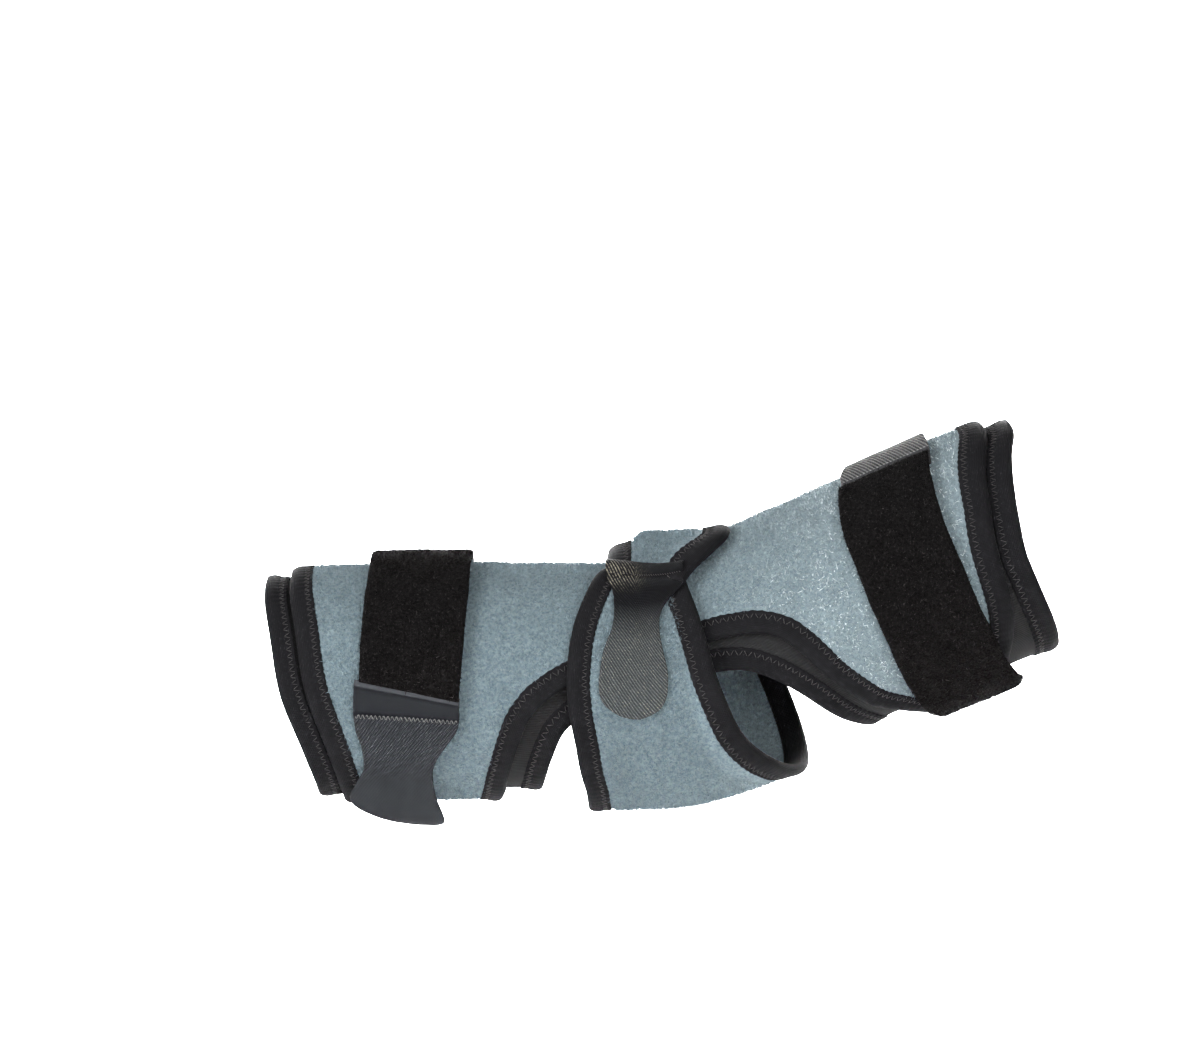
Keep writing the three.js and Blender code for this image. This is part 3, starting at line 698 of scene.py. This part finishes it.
sleeve, sleeve_area = tube_sheet("sleeve_cloth", lambda turn: plush_wrist_of(turn) + EDGE_INSET,
                                 lambda turn: plush_upper_of(turn) - PLUSH_UPPER_INSET,
                                 PLUSH_HOLE, PLUSH_TOP)
solidify(sleeve, PLUSH_THICKNESS)
sleeve.data.materials.append(plush_finish)

rng = np.random.default_rng(11)
some_along = rng.uniform(-146, 142, 175000)
some_turn = rng.uniform(0, 360, 175000)
fold = np.minimum(some_turn, 360 - some_turn)
kept = ((some_along > plush_wrist_of(some_turn) + 8.7) & (some_along < plush_upper_of(some_turn) - 9.9)
        & ~((some_along > -65) & (some_along < 79)
            & (fold > through(PLUSH_HOLE[:, 0], PLUSH_HOLE[:, 1], some_along)))
        & ~near_path(some_along, some_turn, hole_points(PLUSH_HOLE), 8.7)
        & ~near_path(some_along, some_turn, ring_points(plush_upper_of), 10.6))
sleeve_pile = pile("sleeve_pile", some_along[kept], some_turn[kept], PLUSH_TOP - PILE_SINK,
                   *PILE_BLADE, 3)
sleeve_pile.data.materials.append(plush_pile)

PLUSH_BASE = PLUSH_TOP - PLUSH_THICKNESS


def wrist_lift(along, turn):
    """Underside of the wrist tape: 0.5 mm lower at its fold, where it is pulled in."""
    return PLUSH_BASE - 0.5 * np.clip(1 - (along - plush_wrist_of(turn)) / 7, 0, 1)


def upper_lift(along, turn):
    """Underside of the upper tape: 0.25 mm over the cloth, and 1.2 mm under it at its fold."""
    return PLUSH_BASE + 0.25 - 1.45 * np.clip(1 - (plush_upper_of(turn) - along) / 7, 0, 1)


sleeve_tapes = [
    sewn_tape("sleeve_tape_wrist", "outer_binding_wrist", ring_points(plush_wrist_of), 1, True,
              PLUSH_BASE, PLUSH_THICKNESS, wrist_lift),
    sewn_tape("sleeve_tape_upper", "outer_binding_upper", ring_points(plush_upper_of), -1, True,
              PLUSH_BASE, PLUSH_THICKNESS, upper_lift, UPPER_TAPE_WIDTH),
    sewn_tape("sleeve_tape_elbow", "outer_binding_elbow", hole_points(PLUSH_HOLE), 1, True,
              PLUSH_BASE, PLUSH_THICKNESS),
]
for piece in (sleeve, sleeve_pile):
    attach(piece, "root")
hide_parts("outer_sleeve")

# The elbow wrap: a panel of the same plush wound once round the elbow, over the hole. Its flap ends on
# the near side over the crease, where it stands off a little because the arm bends there.
WRAP_THICKNESS = 2.5
WRAP_TAPE_BASE = 8.1
WRAP_RIGHT_TAPE_WIDTH = 9.0
WRAP_COURSE = np.array([
    # turn, left and right edge along the arm
    [34, -31.0, 17.3], [46, -34.5, 16.4], [62, -38.5, 15.6], [76, -40.4, 14.3], [90, -41.0, 13.0],
    [104, -40.0, 13.0], [118, -38.0, 13.6], [134, -36.2, 16.3], [150, -34.0, 21.6],
    [180, -33.0, 30.0], [225, -30.8, 36.0], [285, -28.6, 37.8], [330, -27.0, 38.9],
    [360, -26.0, 39.4], [376, -26.0, 39.0], [386, -26.0, 37.2], [392, -26.1, 33.5],
    [397, -26.3, 27.8], [402, -26.5, 21.0], [408, -26.8, 15.0],
])
WRAP_TURNS = [34, 285, 325, 360, 376, 388, 396, 408]
WRAP_HEIGHTS = np.array([
    # at equal shares from the left edge to the right one
    [10.6, 10.6, 10.6, 10.6, 10.6, 10.6, 10.6],
    [10.6, 10.6, 10.6, 10.6, 10.6, 10.5, 10.2],
    [11.0, 12.6, 13.6, 13.0, 11.6, 9.9, 8.4],
    [12.0, 16.2, 18.0, 17.3, 15.2, 10.9, 7.2],
    [12.8, 16.4, 17.7, 17.2, 15.6, 12.4, 9.2],
    [13.9, 15.8, 16.5, 16.3, 15.4, 13.6, 11.4],
    [14.2, 14.8, 15.1, 15.0, 14.6, 13.8, 12.8],
    [14.2, 14.2, 14.2, 14.2, 14.2, 14.0, 13.6],
])


def basis(knots, at):
    """Share that each knot has in a smooth curve through values at the knots: one row per knot."""
    return np.stack([through(knots, row, at) for row in np.eye(len(knots))])


def wrap_edge(turn, side):
    return through(WRAP_COURSE[:, 0], WRAP_COURSE[:, 1 if side == "left" else 2], turn)


def wrap_top(along, turn):
    """Height of the wrap's face: the table's surface, smooth in turn and in the share across."""
    along, turn = np.broadcast_arrays(along, turn)
    left, right = wrap_edge(turn, "left"), wrap_edge(turn, "right")
    share = np.clip((along - left) / (right - left), 0, 1)
    by_turn = basis(WRAP_TURNS, turn.ravel())
    by_share = basis(np.linspace(0, 1, 7), share.ravel())
    return np.einsum("in,ij,jn->n", by_turn, WRAP_HEIGHTS, by_share).reshape(along.shape)


def wrap_under(along, turn):
    return wrap_top(along, turn) - WRAP_THICKNESS


share = np.linspace(0, 1, 71)[None, :]
round_share = np.linspace(0, 1, 251)[:, None]
turn = 34 + round_share * (360 + 1.5 + 8.0 * share)
left, right = wrap_edge(turn, "left") + 1.2, wrap_edge(turn, "right") - 1.2
along = left + (right - left) * share
points = on_arm(along, turn, wrap_top(along, turn))
faces, flat = grid_faces(*along.shape)
uv = np.stack([along, turn * 0.72], axis=-1).reshape(-1, 2)[flat]
wrap = add_mesh("wrap_cloth", points.reshape(-1, 3), faces[:, ::-1], uv[:, ::-1])
solidify(wrap, WRAP_THICKNESS)
wrap.data.materials.append(plush_finish)

rng = np.random.default_rng(12)
some_turn = rng.uniform(36, 394, 44000)
some_share = rng.uniform(0, 1, 44000)
left, right = wrap_edge(some_turn, "left") + 8.7, wrap_edge(some_turn, "right") - 9.3
some_along = left + (right - left) * some_share
right_path = WRAP_COURSE[:, [2, 0]]
left_path = np.concatenate([[[-28.4, 28.5]], WRAP_COURSE[:-2, [1, 0]]])
kept = ~(near_path(some_along, some_turn, right_path, 11.0, closed=False)
         | near_path(some_along, some_turn, left_path, 9.6, closed=False))
some_along, some_turn = some_along[kept], some_turn[kept]
wrap_pile = pile("wrap_pile", some_along, some_turn, wrap_top(some_along, some_turn) - PILE_SINK,
                 *PILE_BLADE, 4)
wrap_pile.data.materials.append(plush_pile)

wrap_tapes = [
    sewn_tape("wrap_tape_left", "elbow_wrap_binding_left", left_path, 1, False, WRAP_TAPE_BASE,
              WRAP_THICKNESS, wrap_under),
    sewn_tape("wrap_tape_right", "elbow_wrap_binding_right", right_path, -1, False, WRAP_TAPE_BASE,
              WRAP_THICKNESS, wrap_under, WRAP_RIGHT_TAPE_WIDTH),
]
for piece in (wrap, wrap_pile):
    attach(piece, "root")
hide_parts("elbow_wrap")

# The wrap's hook tab: woven tape sewn to the flap's end under a folded band, narrowing to a neck and
# widening to a paddle with a round tip that presses on the near side.
WRAP_TAB = np.array([
    # share of the way, left edge along and turn, right edge along and turn, height
    [0.0, -26.8, 27.5, 19.0, 37.5, 14.6], [0.05, -27.0, 32.0, 18.4, 40.0, 15.9],
    [0.10, -27.0, 36.5, 17.5, 42.5, 15.6],
    [0.16, -26.0, 41.5, 16.6, 45.2, 13.9], [0.23, -24.6, 46.5, 14.0, 48.4, 13.2],
    [0.31, -24.0, 52.0, 4.5, 52.3, 12.8],
    [0.40, -24.0, 59.0, -2.5, 58.5, 12.5], [0.50, -25.0, 66.0, -4.7, 66.0, 12.3],
    [0.60, -27.3, 73.0, -4.6, 74.5, 12.2], [0.70, -28.8, 81.5, -4.0, 83.5, 12.2],
    [0.80, -29.5, 90.0, -4.6, 90.5, 12.2], [0.88, -28.4, 96.3, -6.0, 96.5, 12.2],
    [0.94, -25.2, 100.6, -8.6, 100.8, 12.2], [0.98, -21.5, 103.2, -12.0, 103.2, 12.1],
    [1.0, -17.8, 104.6, -14.8, 104.6, 12.0],
])


def ribbed(u, v, slant, period):
    """Relief of diagonal ribs: sin(2 pi (u cos a + v sin a) / period)."""
    return np.sin(2 * np.pi * (u * math.cos(slant) + v * math.sin(slant)) / period)


def tab_course(table, way, share):
    """Place along and round the arm and height at shares of a tab's way and width."""
    left_a, left_t, right_a, right_t, height = (through(table[:, 0], table[:, k], way)
                                                for k in range(1, 6))
    return left_a + (right_a - left_a) * share, left_t + (right_t - left_t) * share, height


def woven_sheet(name, table, rows, columns, slant, relief, thickness, looks, soft=0.35, period=0.95,
                 left_painted_glints=0.0):
    """Tab between two edges given by a table of shares of the way. looks gives, by the way, how much
    the ribs stand up, how light they are, and a swelling in mm. Its edges are rounded by soft mm. The
    last argument paints glints on the ribs at the left of the band: exp(-(share / 0.26)^2) times a
    bell."""
    way = np.linspace(0, 1, rows)[:, None]
    share = np.linspace(0, 1, columns)[None, :]
    along, turn, height = tab_course(table, way, share)
    run = np.concatenate([[0], np.cumsum(np.linalg.norm(
        np.diff(on_arm(along[:, columns // 2], turn[:, columns // 2], 12.0), axis=0),
        axis=1))])[:, None]
    looks = np.asarray(looks, float)
    standing, light, swell = (np.interp(way, looks[:, 0], looks[:, k]) for k in (1, 2, 3))
    # Painted glints at the left of the band: a bell along the way times a fall across the width.
    painted_glints = left_painted_glints * np.exp(-(share / 0.26) ** 2 - ((way - 0.12) / 0.075) ** 2)
    ribs = ribbed(along, np.broadcast_to(run, along.shape), slant, period) * relief * standing
    edge = np.minimum(share, 1 - share) * columns
    rounded = (-soft * np.clip(1 - edge / 3, 0, 1) ** 2
               - soft * np.clip(1 - (1 - way) * rows / 5, 0, 1) ** 2)
    points = on_arm(along, turn, height + ribs + rounded + swell)
    faces, flat = grid_faces(rows, columns)
    uv = np.stack(np.broadcast_arrays(along, run), axis=-1).reshape(-1, 2)[flat]
    values = {key: np.broadcast_to(value, along.shape)
              for key, value in (("ribs", standing), ("light", light), ("painted_glints", painted_glints))}
    made = add_mesh(name, points.reshape(-1, 3), faces[:, ::-1], uv[:, ::-1], values)
    solidify(made, thickness, even=False)
    return made, cloth_area(points)


def woven_material(name, slant, plain, dark, light, glint, period=0.95):
    """Woven hook tape: plain black where it is folded, ribs lighter on their crowns where they stand,
    partly the weave's own tone and partly painted highlight, and painted glints: tiny bright specks
    here and there."""
    made, tree, shader, uv, place = cloth_material(name, 0.65, 0.01, specular=0.05)
    ribs = add(tree, "ShaderNodeGroup", {"UV": uv, "Period": period, "Slant": slant, "Cross": 0.7,
                                         "Waver": 0.2}, node_tree=RIBS)
    nap = nap_at(tree, place, 1300.0, 70.0)
    standing = add(tree, "ShaderNodeAttribute", attribute_name="ribs").outputs["Fac"]
    lightness = add(tree, "ShaderNodeAttribute", attribute_name="light").outputs["Fac"]
    rib = math_node(tree, "MULTIPLY", ribs.outputs["Rib"], standing)
    colour = blend(tree, rib, dark, light)
    # Painted glints: tiny bright specks on the rib crowns.
    spark = math_node(tree, "MULTIPLY", nap.outputs["Tip"], math_node(
        tree, "MULTIPLY", nap.outputs["Tuft"], rib))
    spark = add(tree, "ShaderNodeMapRange", {"Value": spark, "From Min": 0.22, "From Max": 0.6})
    colour = blend(tree, spark.outputs[0], colour, glint)
    colour = blend(tree, lightness, plain, colour, clamp=False)
    # Painted glints: rib crowns turned to the glint colour at the left of the band.
    painted_glints = add(tree, "ShaderNodeAttribute", attribute_name="painted_glints").outputs["Fac"]
    painted_glints = math_node(tree, "MULTIPLY", painted_glints, math_node(tree, "POWER", ribs.outputs["Rib"], 5.0))
    painted_glints = math_node(tree, "MULTIPLY", painted_glints, math_node(tree, "POWER", nap.outputs["Tuft"], 1.5),
                     clamp=True)
    colour = blend(tree, painted_glints, colour, glint)
    tree.links.new(colour, shader.inputs["Base Color"])
    bump(tree, shader, math_node(tree, "MULTIPLY", ribs.outputs["Height"], standing), 0.00022, 0.8)
    return made


TAB_THICKNESS = 1.1
TAB_LOOKS = [
    # share of the way, ribs, lightness, swelling
    [0.0, 0.3, 0.2, 0.0], [0.03, 0.5, 0.25, 0.55], [0.07, 0.5, 0.2, 0.75], [0.10, 0.3, 0.1, 0.45],
    [0.125, 0.0, 0.0, -0.1], [0.15, 0.5, 0.15, 0.0], [0.22, 0.4, 0.04, 0.0], [0.33, 0.5, 0.06, 0.0],
    [0.44, 0.9, 0.45, 0.0], [0.57, 1.0, 0.85, 0.0], [1.0, 1.0, 1.0, 0.0],
]
hook_finish = woven_material("woven_hook", -0.61, (0.0045, 0.0045, 0.0055), (0.034, 0.037, 0.039),
                             (0.112, 0.118, 0.118), (0.66, 0.62, 0.48))
# The wrap tab gets painted glints on its ribs at the left end of its band.
wrap_tab, area = woven_sheet("wrap_tab", WRAP_TAB, 240, 165, -0.61, 0.09, TAB_THICKNESS,
                             TAB_LOOKS, left_painted_glints=1.0)
wrap_tab.data.materials.append(hook_finish)
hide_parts("elbow_wrap_tab")
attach(wrap_tab, "root")


def seam_across(name, table, way, count, swing, height, radius):
    """Zigzag thread across a tab at a share of its way: count stitches swinging by swing degrees."""
    steps = np.arange(count * 6 + 1)
    share = 0.02 + 0.96 * steps / steps[-1]
    along, turn, _ = tab_course(table, way, share)
    turn = turn + swing * np.sin(steps * np.pi / 3)
    height = height + 0.14 * np.cos(steps * np.pi / 3)
    return cord_mesh(name, on_arm(along, turn, height), on_arm(along, turn, height + 1), radius, False)


band_stitches = seam_across("band_stitches", WRAP_TAB, 0.118, 26, 0.45, 14.95, 0.15)
band_stitches.data.materials.append(thread_finish)
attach(band_stitches, "root")

# The forearm strap: black loop webbing wound round the forearm and laid on the sleeve, its pile brushed
# up and dull.
STRAP_THICKNESS = 2.4
STRAP_ROWS = 200
STRAP_LOOPS = 17000
FOREARM_SLANT = 9.5
FOREARM_STRAP = np.array([
    # turn, left and right edge, height of the face
    [-148, -113.6, -76.8, 9.9], [-90, -115.2, -78.8, 10.2], [-45, -113.8, -76.8, 11.0],
    [0, -113.0, -76.0, 12.0], [36, -113.5, -76.4, 11.9], [64, -115.0, -77.6, 11.7],
    [85, -115.5, -79.0, 11.6], [97.5, -115.9, -79.6, 11.4],
])
UPPER_STRAP = np.array([
    [30, 81.2, 116.6, 11.7], [42, 78.0, 114.0, 11.6], [58, 75.0, 111.2, 11.4],
    [74.5, 74.0, 109.8, 11.3], [90, 73.5, 109.5, 11.3], [109, 73.7, 109.6, 11.3],
    [123, 74.2, 110.5, 11.3],
    [138, 75.5, 111.5, 11.3], [150, 77.5, 113.6, 11.3], [180, 81.8, 117.0, 11.3],
    [210, 77.5, 113.6, 11.3], [300, 75.0, 111.0, 10.6],
])


def tucked(turn, edge):
    """Edges drawn in by 2.6 mm under the arm: a bell in turn times a square rise towards the edge."""
    return -2.6 * np.exp(-((turn - 180) / 13) ** 2) * np.clip(1 - edge / 0.22, 0, 1) ** 2


def strap_course(table, way, share, slant):
    """Turn, edges and height at shares of a strap's way and width. Its last end is cut slant degrees
    short at the left edge: turn = first + span way - slant (1 - share) way^6."""
    turn = table[0, 0] + (table[-1, 0] - table[0, 0]) * way - slant * (1 - share) * way ** 6
    return turn, *(through(table[:, 0], table[:, k], turn) for k in (1, 2, 3))


def strap_sheet(name, table, thickness, rows, columns=40, seed=5, slant=0.0):
    """Webbing wound round the arm: its face rounds down by 0.7 mm at the edges and swells unevenly."""
    way = np.linspace(0, 1, rows)[:, None]
    share = np.linspace(0, 1, columns)[None, :]
    turn, left, right, height = strap_course(table, way, share, slant)
    uneven = 0.10 * np.sin(turn / 5.3 + 1.1 * seed) + 0.07 * np.sin(turn / 2.1 + seed)
    along = left + (right - left) * share + uneven * (2 * share - 1)
    edge = np.minimum(share, 1 - share) * 2
    end = np.minimum(way, 1 - way) * (table[-1, 0] - table[0, 0])
    rounded = -0.7 * np.clip(1 - edge / 0.09, 0, 1) ** 2 - 0.6 * np.clip(1 - end / 1.6, 0, 1) ** 2
    swell = 0.12 * np.sin(along / 2.3 + turn / 6) + 0.10 * np.sin(turn / 2.9 - along / 4)
    points = on_arm(along, turn, height + rounded + swell + tucked(turn, edge))
    faces, flat = grid_faces(*along.shape)
    uv = np.stack(np.broadcast_arrays(along, turn * 0.8), axis=-1).reshape(-1, 2)[flat]
    made = add_mesh(name, points.reshape(-1, 3), faces[:, ::-1], uv[:, ::-1])
    solidify(made, thickness)
    return made


def strap_pile(name, table, count, seed, slant=0.0):
    """Loops brushed up on a strap's face and along its edges."""
    rng = np.random.default_rng(seed)
    share = np.clip(rng.uniform(-0.02, 1.02, count), 0.004, 0.996)
    way = rng.uniform(0.002, 0.998, count)
    turn, left, right, height = strap_course(table, way, share, slant)
    edge = np.minimum(share, 1 - share) * 2
    rounded = -0.7 * np.clip(1 - edge / 0.09, 0, 1) ** 2 + tucked(turn, edge)
    return pile(name, left + (right - left) * share, turn, height + rounded - 0.1, 0.95, 0.30, 0.9,
                seed)


loop_finish, tree, shader, uv, place = cloth_material("loop_pile", 0.95, 0.01, 0.6, specular=0.03)
nap = nap_at(tree, place, 1000.0, 80.0)
colour = blend(tree, nap.outputs["Tuft"], (0.0035, 0.0032, 0.0032), (0.0125, 0.0115, 0.0115))
spark = add(tree, "ShaderNodeMapRange",
            {"Value": nap.outputs["Tip"], "From Min": 0.72, "From Max": 1.0})
colour = blend(tree, spark.outputs[0], colour, (0.045, 0.040, 0.039))
tree.links.new(colour, shader.inputs["Base Color"])
bump(tree, shader, nap.outputs["Height"], 0.0007, 0.9)

loop_fibres, tree, shader, uv, place = cloth_material("loop_fibres", 0.9, 0.01, 0.5, specular=0.04)
shade = add(tree, "ShaderNodeAttribute", attribute_name="shade").outputs["Fac"]
rare = add(tree, "ShaderNodeMapRange", {"Value": shade, "From Min": 0.86, "From Max": 1.0})
colour = blend(tree, rare.outputs[0], (0.0060, 0.0054, 0.0053), (0.050, 0.047, 0.046))
tree.links.new(colour, shader.inputs["Base Color"])

forearm_strap = strap_sheet("forearm_strap_cloth", FOREARM_STRAP, STRAP_THICKNESS, STRAP_ROWS,
                            slant=FOREARM_SLANT)
forearm_pile = strap_pile("forearm_strap_pile", FOREARM_STRAP, STRAP_LOOPS, 21, slant=FOREARM_SLANT)
forearm_strap.data.materials.append(loop_finish)
forearm_pile.data.materials.append(loop_fibres)
for piece in (forearm_strap, forearm_pile):
    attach(piece, "root")
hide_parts("forearm_strap")

# The forearm strap's hook tab: woven tape sewn to the strap's end over a smooth joint band. Its ribs
# fade into a smooth tail that flares and hangs free under the arm.
FOREARM_TAB = np.array([
    # share of the way, left edge along and turn, right edge along and turn, height
    [0.0, -117.2, 86.8, -79.3, 95.8, 10.0], [0.035, -117.5, 89.4, -79.5, 98.9, 10.2],
    [0.20, -117.8, 102.0, -79.6, 105.8, 10.3], [0.30, -117.0, 110.5, -80.8, 111.5, 10.3],
    [0.40, -115.2, 118.0, -84.0, 117.5, 10.3], [0.50, -114.5, 125.0, -87.2, 123.8, 10.4],
    [0.60, -114.8, 131.0, -89.3, 130.8, 10.6], [0.70, -117.2, 137.5, -89.4, 138.2, 11.4],
    [0.80, -119.8, 145.0, -88.4, 146.0, 13.2], [0.88, -118.4, 149.4, -87.0, 152.0, 14.8],
    [0.94, -113.4, 153.4, -86.0, 156.5, 16.2], [0.98, -106.2, 158.6, -85.7, 159.8, 17.4],
    [0.995, -99.8, 162.6, -86.6, 162.4, 18.0], [1.0, -95.5, 163.8, -89.2, 163.8, 18.3],
])
TAIL_LOOKS = [
    [0.0, 0.0, 2.2, 0.2], [0.032, 0.0, 2.4, 0.35], [0.042, 0.0, 0.3, -0.05], [0.07, 0.0, 0.65, 0.25],
    [0.185, 0.0, 0.5, 0.25], [0.20, 0.0, 0.1, -0.1],
    [0.225, 1.0, 0.6, 0.0], [0.42, 1.0, 0.75, 0.0], [0.56, 0.5, 0.8, 0.0], [0.68, 0.1, 0.9, 0.0],
    [1.0, 0.05, 1.0, 0.0],
]
tail_finish = woven_material("woven_hook_tail", 0.61, (0.0050, 0.0055, 0.0075), (0.027, 0.029, 0.033),
                             (0.062, 0.066, 0.072), (0.36, 0.36, 0.36))
forearm_tab, area = woven_sheet("forearm_tab", FOREARM_TAB, 230, 150, 0.61, 0.08,
                                TAB_THICKNESS, TAIL_LOOKS)
forearm_tab.data.materials.append(tail_finish)
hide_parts("forearm_strap_tab")
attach(forearm_tab, "root")

# A row of stitches across the joint: a real seam, its pale colour a painted highlight for the glints
# along it.
pale_glint_thread, tree, shader, uv, place = cloth_material("pale_glint_thread", 0.45, 0.0, specular=0.4)
nap = nap_at(tree, place, 2500.0)
tree.links.new(blend(tree, nap.outputs["Tuft"], (0.05, 0.05, 0.055), (0.34, 0.34, 0.33)),
               shader.inputs["Base Color"])
joint_stitches = seam_across("joint_stitches", FOREARM_TAB, 0.215, 24, 0.9, 10.3, 0.14)
joint_stitches.data.materials.append(pale_glint_thread)
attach(joint_stitches, "root")

# The upper strap: the same black loop webbing, wound round the upper arm and laid on the sleeve. Its
# near end covers the end of its own tab.
upper_strap = strap_sheet("upper_strap_cloth", UPPER_STRAP, STRAP_THICKNESS, STRAP_ROWS, seed=9)
upper_pile = strap_pile("upper_strap_pile", UPPER_STRAP, STRAP_LOOPS, 22)
upper_strap.data.materials.append(loop_finish)
upper_pile.data.materials.append(loop_fibres)
for piece in (upper_strap, upper_pile):
    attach(piece, "root")
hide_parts("upper_strap")

# The upper strap's hook tab: woven tape over the top of the arm, pressed on the sleeve, whose end slips
# under the loop strap.
UPPER_TAB = np.array([
    [0.0, 79.5, -50.0, 115.0, -50.0, 9.9], [0.35, 85.5, -20.0, 118.2, -20.0, 10.1],
    [0.55, 87.5, 0.0, 118.8, -2.0, 10.4], [0.66, 85.6, 10.0, 118.8, 8.0, 10.4],
    [0.76, 83.6, 18.5, 118.3, 17.5, 10.3], [0.88, 82.4, 28.0, 117.4, 28.0, 10.2],
    [1.0, 81.0, 37.0, 115.5, 37.0, 9.2],
])
# Painted highlight in this strip, seen at a slant: its gold glints, and in part its light rib crowns.
top_finish = woven_material("woven_hook_top", -0.22, (0.009, 0.009, 0.0092), (0.0125, 0.0125, 0.0130),
                            (0.125, 0.125, 0.128), (0.60, 0.53, 0.36), period=1.3)
upper_tab, _ = woven_sheet("upper_tab", UPPER_TAB, 180, 150, -0.22, 0.16, TAB_THICKNESS,
                           [[0.0, 1.0, 1.0, 0.0], [0.85, 1.0, 1.0, 0.0], [0.865, 0.0, 9.0, 0.3],
                            [1.0, 0.0, 9.0, 0.3]], period=1.3)
upper_tab.data.materials.append(top_finish)
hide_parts("upper_strap_tab")
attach(upper_tab, "root")

# The studio: a pale floor that sweeps up into a backdrop, a soft box from the left, a weaker one from
# the front, and a wash that lights the backdrop.
FLOOR_BELOW = 0.16
quarter = np.linspace(0.1, np.pi / 2, 14)
sweep_y = np.concatenate([np.linspace(-1.6, 0.9, 6), 0.9 + 0.5 * np.sin(quarter), [1.4]])
sweep_z = np.concatenate([np.zeros(6), 0.5 - 0.5 * np.cos(quarter), [2.2]]) - FLOOR_BELOW
grid_x = np.linspace(-2.2, 2.2, 3)
points = np.stack(np.broadcast_arrays(grid_x[None, :], sweep_y[:, None], sweep_z[:, None]),
                  axis=-1) * 1000
faces, _ = grid_faces(21, 3)
floor = add_mesh("studio_sweep", points.reshape(-1, 3), faces)
paper = bpy.data.materials.new("studio_paper")
paper.use_nodes = True
paper.node_tree.nodes["Principled BSDF"].inputs["Base Color"].default_value = (0.80, 0.80, 0.80, 1)
paper.node_tree.nodes["Principled BSDF"].inputs["Roughness"].default_value = 0.9
floor.data.materials.append(paper)


def area_light(name, place, aim, size, energy, spread=180):
    """Soft box of a size in metres at a place, turned to aim, its light kept within spread degrees."""
    light = bpy.data.lights.new(name, "AREA")
    light.spread = math.radians(spread)
    light.shape = "RECTANGLE"
    light.size, light.size_y = size
    light.energy = energy
    made = bpy.data.objects.new(name, light)
    made.location = place
    way = np.array(aim, float) - np.array(place, float)
    flat_way = math.hypot(way[0], way[1])
    made.rotation_euler = (math.pi / 2 + math.atan2(way[2], flat_way), 0,
                           math.atan2(way[1], way[0]) - math.pi / 2)
    bpy.context.collection.objects.link(made)
    return made


lights = [
    area_light("soft_key", (-1.55, -1.25, 0.42), (0.0, 0.0, 0.02), (1.1, 0.9), 38.0),
    area_light("soft_fill", (0.5, -1.75, 0.12), (0.0, 0.0, 0.02), (1.2, 0.9), 20.0),
    area_light("backdrop_wash", (0.0, 0.55, 1.5), (0.0, 1.35, 0.2), (2.4, 0.5), 215.0, spread=95),
]
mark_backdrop(floor, *lights)
world = bpy.data.worlds.new("studio_air")
world.use_nodes = True
world.node_tree.nodes["Background"].inputs["Color"].default_value = (1, 1, 1, 1)
world.node_tree.nodes["Background"].inputs["Strength"].default_value = 0.4
bpy.context.scene.world = world

camera_data = bpy.data.cameras.new("photo_view")
camera_data.sensor_width = 36.0
camera_data.sensor_fit = "HORIZONTAL"
camera_data.lens = 121.6
camera_data.clip_end = 20.0
camera = bpy.data.objects.new("photo_view", camera_data)
camera.location = (-0.02923, -1.5, 0.05661)
camera.rotation_euler = (math.pi / 2, 0, 0)
bpy.context.collection.objects.link(camera)
bpy.context.scene.camera = camera


def plain(value):
    """Corners as plain lists of numbers."""
    return [plain(v) for v in value] if hasattr(value, "__len__") and not isinstance(value, str) else (
        float(value))


bpy.context.scene.view_settings.view_transform = "Standard"

size_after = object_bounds()
{"before": plain(size_before), "after": plain(size_after)}
